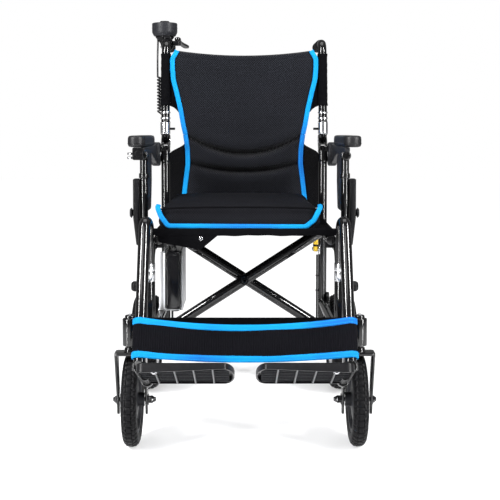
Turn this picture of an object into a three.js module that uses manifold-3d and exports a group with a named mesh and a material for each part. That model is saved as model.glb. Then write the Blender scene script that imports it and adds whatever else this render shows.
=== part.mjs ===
// A folding transport wheelchair with an attendant's drive control, in millimetres.
// +Z is up, the chair faces -Y, and the origin lies on the floor under the middle of its length.
// Left and right are the rider's own: the rider's left is +X.
// Most pieces come in mirrored pairs. Each is worked out once, for the left side, and mirrored for the right.
import * as THREE from 'three';
import { mergeVertices } from 'three/addons/utils/BufferGeometryUtils.js';
import Module from 'manifold-3d';

const wasm = await Module();
wasm.setup();

// Driving dimensions of the whole chair
const frameHalf = 203; // middle plane of the chair to the tube centres of a side frame
const rearAxleY = 362.5;
const wheelbase = 500;
const casterTrail = 40;
const casterOffset = 39; // tube centre of a side frame to the middle plane of its caster
const casterRadius = 100;
const driveRadius = 125;
const driveWidth = 70;
const tubeRadius = 11;
const restGap = 0.3; // between pieces that rest on each other
const runGap = 0.6; // between pieces that turn in or beside each other
const handGap = 2; // between pieces that only pass each other
const cutOverrun = 5;
const weldDepth = 2;
const mergeTolerance = 0.001;

// Side frame
const lowerRailZ = 234;
const railSpacing = 191;
const caneSetback = 30.5; // the cane stands before the rear axle
const caneTail = 40; // the cane's foot below the lower rail
const postSetback = 32.5; // the front post stands behind the caster's stem
const frameBend = 40;
const receiverRadius = 14;
const receiverLift = 6; // lower rail to the receiver's foot
const receiverLength = 122;
const receiverWebHalf = 5;
const housingRadius = 16;
const housingLength = 58;
const housingCapRadius = 11;
const housingCapRise = 7;
const webThickness = 6;
const axlePlateThickness = 7;
const axlePlateHalf = 26;
const axleRadius = 8;
const axleNutRadius = 13;
const axleNutLength = 9;
const saddleFrontSetback = 85; // from the front post
const saddleRearSetback = 112; // from the cane
const saddleHalf = 12;
const saddleReach = 7;
const saddleDrop = 4;

// Scissor braces and seat rails
const pivotInset = 19; // tube centre of a side frame to the brace's lower pivot
const pivotDrop = 24;
const braceOffset = 3.5; // the braces lie this far before the middle of the side frame
const braceStep = 14; // each brace lies this far before or behind the plane between them
const braceRadius = 12.5;
const bossRadius = 12;
const seatRailReach = 1; // before the front post
const seatRailSetback = 32; // before the cane
const boltRadius = 5;
const boltHeadRadius = 8;
const boltHeadLength = 5;
const lugThickness = 4;
const lugRadius = 10;

// Back-folding joint of the canes, and the push handles
const backHingeRise = 207; // seat rail to the joint's pin
const hingeGap = 13; // the pin to the end of either cane
const hingeSetback = 20;
const hingeRadius = 15;
const hingeEarThickness = 5;
const tongueRadius = 12;
const hingePinRadius = 4;
const handleRise = 249; // the pin to the push handle
const caneLean = 3; // the canes lean in this much towards the handles
const handleLean = 2;
const handleBend = 24;
const handleReach = 56; // the cane to the start of the grip
const gripRadius = 14;
const gripLength = 96;
const gripCap = 4;
const sleeveRise = 76; // foot of the upper cane to its cloth sleeve
const sleeveLength = 133;
const sleeveWall = 2;
const tabLength = 14;
const tabWidth = 9;
const tabThickness = 6;
const tabRise = 17; // foot of the upper cane to the middle of its release tab

// Armrests
const armPivotDrop = 22; // top of the cane to the armrest's pin
const armDiscRadius = 30;
const armDiscWidth = 22;
const armPinRadius = 6;
const armWasherRadius = 12;
const armWasherThickness = 4;
const armBowOffset = 13; // inner face of the hub to the middle plane of the bow and its leg
const armPlateWidth = 12;
const armPlateDepth = 18;
const armHeelShare = 0.6; // of the hub's radius and of the bow's depth, where the bow runs into them
const armReach = 366; // the cane to the front of the bow
const padOverhang = 18;
const padOffset = 11.5; // outwards of the bow
const padWidth = 39;
const padThickness = 26;
const padRise = 23; // the armrest's pin to the underside of the pad
const padLength = 285;
const padRound = 18;
const padEase = 5;
const legReach = 318; // the cane to the armrest's leg
const legRadius = 9;
const legLift = 53; // upper rail to the foot of the leg
const guardHeight = 134;
const guardThickness = 4;
const guardTail = 26; // middle of the bow's underside to the rear of the side guard
const guardTaper = 22; // the guard's rear edge leans forward by this much to its foot
const socketGap = 1;
const socketThickness = 14;
const socketDepth = 30;
const socketRise = 145;
const socketEase = 2;
const socketTaper = 7; // the plate narrows by this much below the knob
const socketFootHeight = 12;
const ledgeThickness = 8;
const pullKnobRise = 14; // foot of the leg to the knob
const pullKnobRadius = 11;
const pullKnobLength = 8;
const pullKnobFaceShare = 0.8;
const clampInset = 4; // outer edge of the pad to the clamp's housing, on either side
const clampWidth = 24;
const clampHeight = 28;
const clampDepth = 15;
const clampBarRadius = 2.5;
const clampBarInset = 5; // edge of the housing to a bar's middle

// Swing-away hangers and footplates
const hangerRadius = 12;
const hangerOffset = 5; // the sloping tube lies this far outwards of the receiver
const hangerArchRise = 126; // top of the receiver to the arch
const hangerArchReach = 31;
const hangerArchBend = 18;
const hangerSlopeDeg = 25;
const hangerFootZ = 208;
const collarWall = 2;
const collarLength = 38;
const collarEase = 0.4;
const releaseKnobRadius = 11;
const releaseKnobLength = 22;
const releaseKnobDomeShare = 0.7;
const footLugRadius = 11;
const footLugThickness = 12;
const plateInnerHalf = 20;
const plateOuterInset = 9; // hanger tube's axis to the plate's outer edge
const plateHeel = 21; // front of the hanger tube's axis to the plate's heel
const plateLength = 137;
const plateThickness = 12;
const plateDrop = 18; // end of the hanger tube to the tread
const plateSkin = 5;
const plateCorner = 14;
const plateNose = 20; // the inner end is half an oval, this deep
const plateRim = 4;
const plateRibs = 4;
const plateRibSpacing = 35.4;
const plateRibInset = 33; // outer edge of the plate to its first rib
const platePivotInset = 18;
const plateKnuckleRadius = 8;
const plateKnuckleLength = 45;
const plateLipDepth = 18;
const plateLipReach = 104; // the deep front edge runs out this far inwards of the plate's outer edge

// Casters and drive wheels
const forkLegThickness = 5;
const forkInnerHalf = 28;
const forkCrownGap = 12; // the tyre to the underside of the housing's plate
const forkStemShow = 14;
const forkCrownThickness = 7;
const forkCrownReach = 24;
const forkLegHalf = 13;
const forkFootHalf = 9;
const forkFootDrop = 32; // the axle to the foot of the fork's legs
const stemRadius = 9;
const casterWidth = 34;
const casterHubWidth = 52;
const casterRimRadius = 72;
const casterAxleRadius = 5;
const casterNutRadius = 8;
const casterInnerNut = 17;
const casterOuterNut = 9;
const driveTyreWidth = 66;
const driveRimRadius = 92;
const motorRadius = 62;
const rimRootShare = 0.82; // of the caster's rim radius
const rimWallShare = 0.88;
const rimHalfShare = 0.8; // of the tyre's half width
const driveRootShare = 0.86; // of the drive wheel's rim radius
const driveWallShare = 0.92;
// Share of the way from rim to tread, and share of the half width, from the bead to the middle of the tread
const tyreProfileShares = [[0, 0.86], [0.45, 1], [0.82, 0.94], [0.96, 0.5], [1, 0]];
// Shares of the drive hub's half width at the drum's two edges and the dish's root, inner and outer face
const drumInnerShares = [0.85, 0.4, 0.3];
const drumOuterShares = [0.8, 0.5, 0.4];

// Upholstery
const slingThickness = 4;
const slingOverhang = 4; // before the seat rails
const slingSetback = 10; // before their rear ends
const hemThickness = 3.5;
const hemHeight = 16;
const gussetWidth = 134;
const gussetTipInset = 89;
const gussetDrop = 22; // seat rail to the gusset's tip
const cushionShift = 12; // the loose cushion lies a little to the rider's right
const cushionInset = 6;
const cushionFrontGap = 14;
const cushionRearGap = 6;
const cushionRim = 16;
const cushionThickness = 54;
const cushionCrown = 7;
const cushionSquareness = 8;
const backTopDrop = 19; // push handle to the top of the back
const backTopDip = 12;
const backFootRise = 33;
const backFaceInset = 8; // the cane's middle to the cloth before it
const backClothInset = 0.5;
const backCloth = 4;
const backPadding = 20;
const backSquareness = 6;
const backSag = 14;
const backSeamGap = 4;
const channelDepth = 5;
const channelHalf = 7;
const upperChannelDrop = 34; // the back joint's pin to the upper channel, at the middle of the back
const upperChannelSmile = 50;
const lowerChannelRise = 94; // foot of the back to the lower channel
const lowerChannelSmile = 26;
// Up the back: share of its height, and share of the cloth's greatest half width
const waistShares = [[0, 0.85], [0.205, 0.799], [0.282, 0.778], [0.378, 0.783]];
const shoulderShares = [[0.471, 0.809], [0.527, 0.836], [0.629, 0.872], [0.738, 0.924], [0.815, 0.966],
  [0.886, 0.9765], [0.951, 0.9765], [1, 0.909]];
const wingShares = [[0, 1], [0.357, 1], [0.406, 0.794]];
const strapHeight = 80;
const strapThickness = 2.5;
const strapRise = 24; // end of the hanger tube to the strap's lower hem
const strapEase = 1;
const strapStartDeg = 130;
const strapSweepDeg = 220;
const strapTopSag = 16; // between the tubes, at its upper hem
const strapFootSag = 10;

// Battery and its cable, on the rider's right
const batteryWidth = 38;
const batteryGap = 1;
const batteryDrop = 35; // upper rail to the battery's top
const batteryReach = 204; // the cane to the battery's front
const batteryLength = 184;
const batteryEase = 6;
const batteryNeckDrop = 4; // lower rail to the foot of the battery's neck
const batteryNeckRadius = 10;
const cradleWall = 3;
const cradleFloor = 4;
const cradleInset = 12;
const cableRadius = 3;
const cableBend = 10;
const cableRise = 28; // rear axle to the ends of the motor cables

// Attendant control on the right push handle
const controlRadius = 33;
const controlHeight = 34;
const controlOffset = 8; // outwards of the handle
const controlReach = 64;
const controlRise = 23; // push handle to the underside of the control
const controlEase = 3;
const controlTaper = 10;
const controlFootShare = 0.85;
const dialRadius = 12;
const dialHeight = 5;
const controlClampReach = 44;
const controlClampHalf = 8;
const controlClampWall = 5;
const mastHalf = 9;
const brakePivotInset = 27;
const brakeLugRadius = 8;
const brakeRise = 9; // push handle to the top of the lever's lug
const brakeThickness = 7;
const brakeDrop = 12; // the lever falls by this much to its tip
const brakeFlare = 17;
const brakeLength = 94;

// Curly cord from the control to its plug on the cane
const cordRadius = 2.3;
const curlRadius = 5.6;
const curls = 11;
const curlSteps = 8;
const cordSides = 5;
const curlOffset = 13; // outwards of the control's middle
const curlSetback = 8;
const curlDrop = 111; // underside of the control to the first curl
const curlLength = 90;
const cordExitOffset = 18;
const plugHeight = 22;
const plugWidth = 14;
const plugDepth = 13;

// Clutch lever of the left motor
const clutchDrop = 53; // upper rail to the lever's pin
const clutchLength = 42;
const clutchWidth = 12;
const clutchThickness = 12;
const clutchPinRadius = 4;
const clutchPinHead = 6;
const clutchCableRadius = 2.5;

// Numbers of flat sides on round pieces, and of cells across the cushions
const tubeSides = 12;
const pinSides = 10;
const barSides = 14;
const nutSides = 6;
const roundSides = 16;
const collarSides = 20;
const housingSides = 28;
const cableSides = 6;
const wheelFacets = 30;
const hubFacets = 20;
const bevelSteps = 2;
const cushionCells = 14;
const backColumns = 12;
const backUpperRows = 16;
const backLowerRows = 28;
const strapSteps = 7;
const seamRounds = 12;
const cornerSteps = 3;
const noseSteps = 8;
const strapSpans = 8;

const black = { color: 0x0b0b0d, roughness: 0.25, metalness: 0.1 };
const finishes = {
  paintedTube: black,
  plastic: { color: 0x2a2a2e, roughness: 0.6, metalness: 0 },
  steel: { color: 0xc9cbd0, roughness: 0.25, metalness: 1 },
  aluminium: { color: 0xb9bcc4, roughness: 0.4, metalness: 1 },
  rubber: { color: 0x1a1a1c, roughness: 0.85, metalness: 0 },
  fabric: { color: 0x2c2e36, roughness: 0.95, metalness: 0 },
  yellow: { color: 0xe6b422, roughness: 0.45, metalness: 0 },
};

const toRadians = THREE.MathUtils.degToRad;
const vec = (x, y, z) => new THREE.Vector3(x, y, z);

// Shared vertices are merged, flat slivers dropped, and faces turned outwards.
function tidy(geometry) {
  const bare = geometry.index ? geometry.toNonIndexed() : geometry.clone();
  for (const name of Object.keys(bare.attributes)) {
    if (name !== 'position') {
      bare.deleteAttribute(name);
    }
  }
  const merged = mergeVertices(bare, mergeTolerance);
  const at = merged.attributes.position;
  const old = merged.index.array;
  const kept = [];
  let volume = 0;
  for (let i = 0; i < old.length; i += 3) {
    const [a, b, c] = [old[i], old[i + 1], old[i + 2]];
    if (a === b || b === c || a === c) {
      continue;
    }
    kept.push(a, b, c);
    const [p, q, r] = [a, b, c].map((n) => new THREE.Vector3().fromBufferAttribute(at, n));
    volume += p.dot(q.cross(r));
  }
  if (volume < 0) {
    kept.reverse();
  }
  merged.setIndex(kept);
  return merged;
}

function toSolid(geometry) {
  const ready = tidy(geometry);
  return new wasm.Manifold(new wasm.Mesh({
    numProp: 3,
    vertProperties: new Float32Array(ready.attributes.position.array),
    triVerts: new Uint32Array(ready.index.array),
  }));
}

function fromSolid(solid) {
  const mesh = solid.getMesh();
  const geometry = new THREE.BufferGeometry();
  geometry.setAttribute('position', new THREE.BufferAttribute(new Float32Array(mesh.vertProperties), 3));
  geometry.setIndex(Array.from(mesh.triVerts));
  return geometry;
}

const join = (...pieces) => fromSolid(pieces.map(toSolid).reduce((all, next) => all.add(next)));
const cut = (piece, ...tools) => fromSolid(
  tools.map(toSolid).reduce((left, tool) => left.subtract(tool), toSolid(piece)));

// A path of straight runs whose corners are rounded by short arcs.
// It gives back its own points, which are unevenly spaced.
class BentPath extends THREE.Curve {
  constructor(corners, bend, arcSteps) {
    super();
    this.nodes = [corners[0]];
    for (let i = 1; i < corners.length - 1; i += 1) {
      if (bend === 0) {
        this.nodes.push(corners[i]);
        continue;
      }
      const before = corners[i - 1].clone().sub(corners[i]).normalize();
      const after = corners[i + 1].clone().sub(corners[i]).normalize();
      const half = before.angleTo(after) / 2;
      const middle = before.clone().add(after).normalize();
      const centre = corners[i].clone().addScaledVector(middle, bend / Math.sin(half));
      const start = corners[i].clone().addScaledVector(before, bend / Math.tan(half)).sub(centre);
      const turn = Math.PI - 2 * half;
      const axis = before.clone().negate().cross(after).normalize();
      for (let k = 0; k <= arcSteps; k += 1) {
        this.nodes.push(start.clone().applyAxisAngle(axis, turn * k / arcSteps).add(centre));
      }
    }
    this.nodes.push(corners[corners.length - 1]);
  }

  get steps() {
    return this.nodes.length - 1;
  }

  getPoint(t) {
    const place = t * this.steps;
    const i = Math.min(Math.floor(place), this.steps - 1);
    return this.nodes[i].clone().lerp(this.nodes[i + 1], place - i);
  }

  getPointAt(t) {
    return this.getPoint(t);
  }

  getTangentAt(t) {
    const i = Math.round(t * this.steps);
    const before = this.nodes[Math.max(i - 1, 0)];
    const here = this.nodes[i];
    const after = this.nodes[Math.min(i + 1, this.steps)];
    const arriving = here.clone().sub(before).normalize();
    const leaving = after.clone().sub(here).normalize();
    return arriving.add(leaving).normalize();
  }
}

function ring(radius, sides, turn = 0) {
  const shape = new THREE.Shape();
  for (let i = 0; i < sides; i += 1) {
    const angle = turn + 2 * Math.PI * i / sides;
    const [x, y] = [radius * Math.cos(angle), radius * Math.sin(angle)];
    if (i === 0) {
      shape.moveTo(x, y);
    } else {
      shape.lineTo(x, y);
    }
  }
  return shape;
}

function tube(corners, radius, { bend = 0, arcSteps = 3, sides = tubeSides } = {}) {
  const path = new BentPath(corners, bend, arcSteps);
  return new THREE.ExtrudeGeometry(ring(radius, sides), { steps: path.steps, extrudePath: path });
}

// A flat outline pushed out along an axis, with its edges eased by a bevel.
// Its points are (y, z), (x, z) or (x, y), for axis x, y or z.
function slab(axis, outline, from, to, ease = 0) {
  const shape = new THREE.Shape(outline.map(([u, v]) => new THREE.Vector2(u, v)));
  const geometry = new THREE.ExtrudeGeometry(shape, {
    depth: to - from - 2 * ease,
    bevelEnabled: ease > 0,
    bevelThickness: ease,
    bevelSize: ease,
    bevelOffset: -ease,
    bevelSegments: bevelSteps,
  });
  const frames = {
    x: [vec(0, 1, 0), vec(0, 0, 1), vec(1, 0, 0), vec(from + ease, 0, 0)],
    y: [vec(1, 0, 0), vec(0, 0, 1), vec(0, -1, 0), vec(0, to - ease, 0)],
    z: [vec(1, 0, 0), vec(0, 1, 0), vec(0, 0, 1), vec(0, 0, from + ease)],
  };
  const [u, v, w, place] = frames[axis];
  return geometry.applyMatrix4(new THREE.Matrix4().makeBasis(u, v, w).setPosition(place));
}

const block = (x0, x1, y0, y1, z0, z1) => slab('z', [[x0, y0], [x1, y0], [x1, y1], [x0, y1]], z0, z1);

// A round bar or disc along an axis, from its first to its last point.
const disc = (from, to, radius, sides = roundSides) => tube([from, to], radius, { sides });

// The outline round two circles, as the side of a lug or link.
function linkOutline([pu, pv], [qu, qv], radius, steps = 6) {
  const heading = Math.atan2(qv - pv, qu - pu);
  const points = [];
  for (let i = 0; i <= steps; i += 1) {
    const angle = heading + Math.PI / 2 + Math.PI * i / steps;
    points.push([pu + radius * Math.cos(angle), pv + radius * Math.sin(angle)]);
  }
  for (let i = 0; i <= steps; i += 1) {
    const angle = heading - Math.PI / 2 + Math.PI * i / steps;
    points.push([qu + radius * Math.cos(angle), qv + radius * Math.sin(angle)]);
  }
  return points;
}

// A rectangle with rounded corners.
function roundedOutline(u0, u1, v0, v1, radius, steps = 3) {
  const corners = [[u1 - radius, v1 - radius], [u0 + radius, v1 - radius], [u0 + radius, v0 + radius],
    [u1 - radius, v0 + radius]];
  return corners.flatMap(([u, v], quarter) => Array.from({ length: steps + 1 }, (_, i) => {
    const angle = Math.PI / 2 * (quarter + i / steps);
    return [u + radius * Math.cos(angle), v + radius * Math.sin(angle)];
  }));
}

// A turned shape: profile points are [radius, distance along the axis], and a closed profile leaves a bore.
function turned(profile, axis, centre, facets) {
  const points = profile.map(([radius, along]) => new THREE.Vector2(radius, along));
  const geometry = new THREE.LatheGeometry(points, facets);
  if (axis === 'x') {
    geometry.rotateY(Math.PI / facets).applyMatrix4(
      new THREE.Matrix4().makeBasis(vec(0, 1, 0), vec(1, 0, 0), vec(0, 0, -1)));
  } else if (axis === 'z') {
    geometry.rotateX(Math.PI / 2);
  }
  return geometry.translate(centre.x, centre.y, centre.z);
}

// A closed sheet with a face and a back, each given over a grid of shares across and up.
function padded(columns, rows, face, back) {
  const vertices = [];
  const faces = [];
  const number = (side, i, j) => side * (columns + 1) * (rows + 1) + j * (columns + 1) + i;
  for (const surface of [face, back]) {
    for (let j = 0; j <= rows; j += 1) {
      for (let i = 0; i <= columns; i += 1) {
        const p = surface(i / columns, j / rows);
        vertices.push(p.x, p.y, p.z);
      }
    }
  }
  const quad = (a, b, c, d) => faces.push(a, b, c, a, c, d);
  for (let j = 0; j < rows; j += 1) {
    for (let i = 0; i < columns; i += 1) {
      quad(number(0, i, j), number(0, i + 1, j), number(0, i + 1, j + 1), number(0, i, j + 1));
      quad(number(1, i, j), number(1, i, j + 1), number(1, i + 1, j + 1), number(1, i + 1, j));
    }
  }
  for (let i = 0; i < columns; i += 1) {
    quad(number(0, i, 0), number(1, i, 0), number(1, i + 1, 0), number(0, i + 1, 0));
    quad(number(0, i, rows), number(0, i + 1, rows), number(1, i + 1, rows), number(1, i, rows));
  }
  for (let j = 0; j < rows; j += 1) {
    quad(number(0, 0, j), number(0, 0, j + 1), number(1, 0, j + 1), number(1, 0, j));
    quad(number(0, columns, j), number(1, columns, j), number(1, columns, j + 1), number(0, columns, j + 1));
  }
  const geometry = new THREE.BufferGeometry();
  geometry.setAttribute('position', new THREE.Float32BufferAttribute(vertices, 3));
  geometry.setIndex(faces);
  return geometry;
}

// The value at a place in a table of [place, value] pairs, in straight steps.
function along(table, place) {
  const after = table.findIndex(([at]) => at >= place);
  if (after <= 0) {
    return table[after === 0 ? 0 : table.length - 1][1];
  }
  const [from, low] = table[after - 1];
  const [to, high] = table[after];
  return low + (high - low) * (place - from) / (to - from);
}

// From near to far of a middle plane, on the side that way gives (+1 or -1), as a rising pair.
const span = (middle, way, near, far) => (
  way > 0 ? [middle + near, middle + far] : [middle - far, middle - near]);

const chair = new THREE.Group();

function add(name, geometry, finish, parent = chair) {
  const mesh = new THREE.Mesh(tidy(geometry), new THREE.MeshStandardMaterial(finishes[finish]));
  mesh.name = name;
  parent.add(mesh);
}

// Places worked out from the driving dimensions
const casterAxleY = rearAxleY - wheelbase;
const stemY = casterAxleY - casterTrail;
const casterHalf = frameHalf + casterOffset;
const frontPostY = stemY + postSetback;
const caneY = rearAxleY - caneSetback;
const caneFootZ = lowerRailZ - caneTail;
const upperRailZ = lowerRailZ + railSpacing;
const receiverFootZ = lowerRailZ + receiverLift;
const receiverTopZ = receiverFootZ + receiverLength;
const forkCrownZ = 2 * casterRadius + forkCrownGap;
const housingFootZ = forkCrownZ + forkStemShow;
const housingTopZ = housingFootZ + housingLength;
const driveInner = frameHalf + tubeRadius + axlePlateThickness + restGap;
const driveCentre = driveInner + driveWidth / 2;
const axleEnd = driveInner + driveWidth + restGap + axleNutLength;
const pivotHalf = frameHalf - pivotInset;
const lowerPivotZ = lowerRailZ - pivotDrop;
const seatRailZ = upperRailZ + 2 * tubeRadius;
const seatRailFrontY = frontPostY - seatRailReach;
const seatRailRearY = caneY - seatRailSetback;
const braceY = (frontPostY + caneY) / 2 - braceOffset;
const backPivotY = caneY + hingeSetback;
const backPivotZ = seatRailZ + backHingeRise;
const caneTopZ = backPivotZ - hingeGap;
const upperCaneFootZ = backPivotZ + hingeGap;
const handleZ = backPivotZ + handleRise;
const handleHalf = frameHalf - caneLean;
const handleEndHalf = handleHalf - handleLean;
const gripStartY = caneY + handleReach;
const sleeveFootZ = upperCaneFootZ + sleeveRise;
const tabZ = upperCaneFootZ + tabRise;
const armPivotZ = caneTopZ - armPivotDrop;
const armDiscInner = frameHalf + tubeRadius + handGap;
const armHalf = armDiscInner + armBowOffset;
const armFrontY = caneY - armReach;
const padHalf = armHalf + padOffset;
const padFrontY = armFrontY - padOverhang;
const padFootZ = armPivotZ + padRise;
const legY = caneY - legReach;
const legFootZ = upperRailZ + legLift;
const socketInner = armHalf + legRadius + socketGap;
const hangerPivotY = frontPostY - tubeRadius - receiverRadius - handGap;
const hangerHalf = frameHalf + hangerOffset;
const hangerArchZ = receiverTopZ + hangerArchRise;
const slope = toRadians(hangerSlopeDeg);
const hangerDown = vec(0, -Math.sin(slope), -Math.cos(slope));
const archFront = vec(hangerHalf, hangerPivotY - hangerArchReach, hangerArchZ);
const slopeLength = (hangerArchZ - hangerFootZ) / Math.cos(slope);
const hangerFoot = archFront.clone().addScaledVector(hangerDown, slopeLength);
const braceRise = seatRailZ - lowerPivotZ;
const braceMiddleZ = lowerPivotZ + braceRise / 2;
const earInner = tubeRadius - hingeEarThickness;
const handleEndY = gripStartY + gripLength - gripCap - restGap;
const batteryFootZ = lowerRailZ + tubeRadius + restGap + cradleFloor + restGap;
const platePivotHalf = hangerHalf - platePivotInset;
const plateOuterHalf = hangerHalf - plateOuterInset;
const plateToe = plateHeel + plateLength;
const platePinZ = -plateDrop - plateThickness / 2;
const slingFootZ = seatRailZ + tubeRadius + restGap;
const slingHalf = pivotHalf + tubeRadius;
const slingFrontY = seatRailFrontY - slingOverhang;
const slingRearY = seatRailRearY - slingSetback;
const backTopZ = handleZ - backTopDrop;
const backFootZ = seatRailZ + backFootRise;
const upperChannelZ = backPivotZ - upperChannelDrop;
const backClothHalf = frameHalf - tubeRadius - backClothInset;
const batteryInner = frameHalf - tubeRadius - batteryGap - batteryWidth;
const batteryFrontY = caneY - batteryReach;
const batteryTopZ = upperRailZ - batteryDrop;
const cableEndZ = driveRadius + cableRise;
const controlHalf = handleHalf + controlOffset;
const controlY = caneY + controlReach;
const controlFootZ = handleZ + controlRise;
const controlClampY = caneY + controlClampReach;
const brakePivotHalf = handleHalf - brakePivotInset;
const clutchPivotZ = upperRailZ - clutchDrop;

// The hinge between the cane of a side frame and its upper cane, as a flat link of a given radius
const hingeLink = (caneZ, radius) => linkOutline([caneY, caneZ], [backPivotY, backPivotZ], radius);

// Side frame: a bent loop of tube with the cane's foot, the hanger receiver, the caster housing, the axle
// plate, the lugs of the brace, two saddles and the ears of the back joint welded on. Its brace lies at lugY.
function sideFrame(lugY) {
  const loop = tube([
    vec(frameHalf, caneY, lowerRailZ),
    vec(frameHalf, frontPostY, lowerRailZ),
    vec(frameHalf, frontPostY, upperRailZ),
    vec(frameHalf, caneY, upperRailZ),
  ], tubeRadius, { bend: frameBend });
  const cane = tube([vec(frameHalf, caneY, caneFootZ), vec(frameHalf, caneY, caneTopZ)], tubeRadius);
  const receiver = disc(
    vec(frameHalf, hangerPivotY, receiverFootZ), vec(frameHalf, hangerPivotY, receiverTopZ), receiverRadius,
    barSides);
  const receiverWeb = block(frameHalf - receiverWebHalf, frameHalf + receiverWebHalf, hangerPivotY,
    frontPostY, receiverTopZ - 2 * receiverRadius, receiverTopZ - receiverRadius);
  const housing = turned([
    [0, housingFootZ],
    [housingRadius, housingFootZ],
    [housingRadius, housingTopZ],
    [housingCapRadius, housingTopZ + housingCapRise],
    [0, housingTopZ + housingCapRise],
  ], 'z', vec(casterHalf, stemY, 0), roundSides);
  const webs = [housingFootZ + housingCapRise, housingTopZ - 2 * webThickness].map((z) => slab('z', [
    [frameHalf, frontPostY + tubeRadius],
    [frameHalf, hangerPivotY - tubeRadius],
    [casterHalf, stemY - tubeRadius],
    [casterHalf, stemY + tubeRadius],
  ], z, z + webThickness));
  const axlePlateInner = frameHalf + tubeRadius - weldDepth;
  const axlePlate = slab('x', linkOutline([rearAxleY, driveRadius], [caneY, lowerRailZ], axlePlateHalf),
    axlePlateInner, driveInner - restGap);
  const axle = disc(vec(axlePlateInner, rearAxleY, driveRadius), vec(axleEnd, rearAxleY, driveRadius),
    axleRadius, tubeSides);
  const axleNut = disc(vec(axleEnd - axleNutLength, rearAxleY, driveRadius),
    vec(axleEnd, rearAxleY, driveRadius), axleNutRadius, nutSides);
  const saddles = [frontPostY + saddleFrontSetback, caneY - saddleRearSetback].map((y) => block(
    pivotHalf - saddleReach, frameHalf, y - saddleHalf, y + saddleHalf,
    upperRailZ - saddleDrop, seatRailZ - tubeRadius - restGap));
  const lugOutline = linkOutline([pivotHalf, lowerPivotZ], [frameHalf, lowerRailZ], lugRadius);
  const lugStart = bossRadius + runGap;
  const lugEnd = lugStart + lugThickness;
  const lugs = [-1, 1].map((way) => slab('y', lugOutline, ...span(lugY, way, lugStart, lugEnd)));
  const bolt = disc(vec(pivotHalf, lugY - lugEnd - boltHeadLength, lowerPivotZ),
    vec(pivotHalf, lugY + lugEnd + boltHeadLength, lowerPivotZ), boltRadius, tubeSides);
  const heads = [-1, 1].map((way) => disc(vec(pivotHalf, lugY + way * lugEnd, lowerPivotZ),
    vec(pivotHalf, lugY + way * (lugEnd + boltHeadLength), lowerPivotZ), boltHeadRadius, nutSides));
  const ears = [-1, 1].map((way) => slab('x', hingeLink(caneTopZ - cutOverrun, hingeRadius),
    ...span(frameHalf, way, earInner, tubeRadius)));
  const hingePin = disc(vec(frameHalf - tubeRadius, backPivotY, backPivotZ),
    vec(frameHalf + tubeRadius, backPivotY, backPivotZ), hingePinRadius, pinSides);
  const washerStart = armDiscInner + armDiscWidth + runGap;
  const armPinEnd = vec(washerStart + armWasherThickness, caneY, armPivotZ);
  const armPin = disc(vec(frameHalf, caneY, armPivotZ), armPinEnd, armPinRadius, tubeSides);
  const armWasher = disc(vec(washerStart, caneY, armPivotZ), armPinEnd, armWasherRadius, tubeSides);
  return join(loop, cane, receiver, receiverWeb, housing, ...webs, axlePlate, axle, axleNut, ...saddles,
    ...lugs, bolt, ...heads, ...ears, hingePin, armPin, armWasher);
}

// One arm of the scissor with the seat rail on its upper end. It runs from the lower pivot of one side
// frame to the seat rail over the other. way is +1 when its foot is on the left.
function brace(way, y) {
  const foot = vec(way * pivotHalf, y, lowerPivotZ);
  const head = vec(-way * pivotHalf, y, seatRailZ);
  const arm = disc(foot, head, braceRadius, tubeSides);
  const boss = disc(vec(foot.x, y - bossRadius, foot.z), vec(foot.x, y + bossRadius, foot.z), bossRadius);
  const rail = tube([vec(head.x, seatRailFrontY, head.z), vec(head.x, seatRailRearY, head.z)], tubeRadius);
  const [before, behind] = [y - braceRadius - cutOverrun, y + braceRadius + cutOverrun];
  const bores = [foot, vec(0, y, braceMiddleZ)].map(({ x, z }) => disc(
    vec(x, before, z), vec(x, behind, z), boltRadius + runGap, tubeSides));
  return cut(join(arm, boss, rail), ...bores);
}

function braceBolt() {
  const half = braceStep + braceRadius + restGap;
  const [front, rear] = [braceY - half, braceY + half];
  const heads = [[front - boltHeadLength, front], [rear, rear + boltHeadLength]].map(([from, to]) => disc(
    vec(0, from, braceMiddleZ), vec(0, to, braceMiddleZ), boltHeadRadius, nutSides));
  const shank = disc(vec(0, front, braceMiddleZ), vec(0, rear, braceMiddleZ), boltRadius, tubeSides);
  return join(shank, ...heads);
}

// Caster fork: a crown plate with two legs and the stem that turns under the housing
function casterFork() {
  const crownHalf = forkInnerHalf + forkLegThickness;
  const crown = slab('z', roundedOutline(casterHalf - crownHalf, casterHalf + crownHalf, stemY - forkLegHalf,
    stemY + forkCrownReach, forkLegThickness), forkCrownZ - forkCrownThickness, forkCrownZ);
  const legOutline = [
    [stemY - forkLegHalf, forkCrownZ - weldDepth],
    [casterAxleY - forkLegHalf, casterRadius],
    [casterAxleY - forkFootHalf, casterRadius - forkFootDrop],
    [casterAxleY + forkFootHalf, casterRadius - forkFootDrop],
    [casterAxleY + forkLegHalf, casterRadius],
    [stemY + forkCrownReach, forkCrownZ - weldDepth],
  ];
  const legs = [-1, 1].map((way) => slab('x', legOutline,
    ...span(casterHalf, way, forkInnerHalf, crownHalf)));
  const stem = disc(vec(casterHalf, stemY, forkCrownZ - weldDepth),
    vec(casterHalf, stemY, housingFootZ - restGap), stemRadius, barSides);
  const boreHalf = crownHalf + cutOverrun;
  const bore = disc(vec(casterHalf - boreHalf, casterAxleY, casterRadius),
    vec(casterHalf + boreHalf, casterAxleY, casterRadius), casterAxleRadius + restGap, tubeSides);
  return cut(join(crown, ...legs, stem), bore);
}

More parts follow.
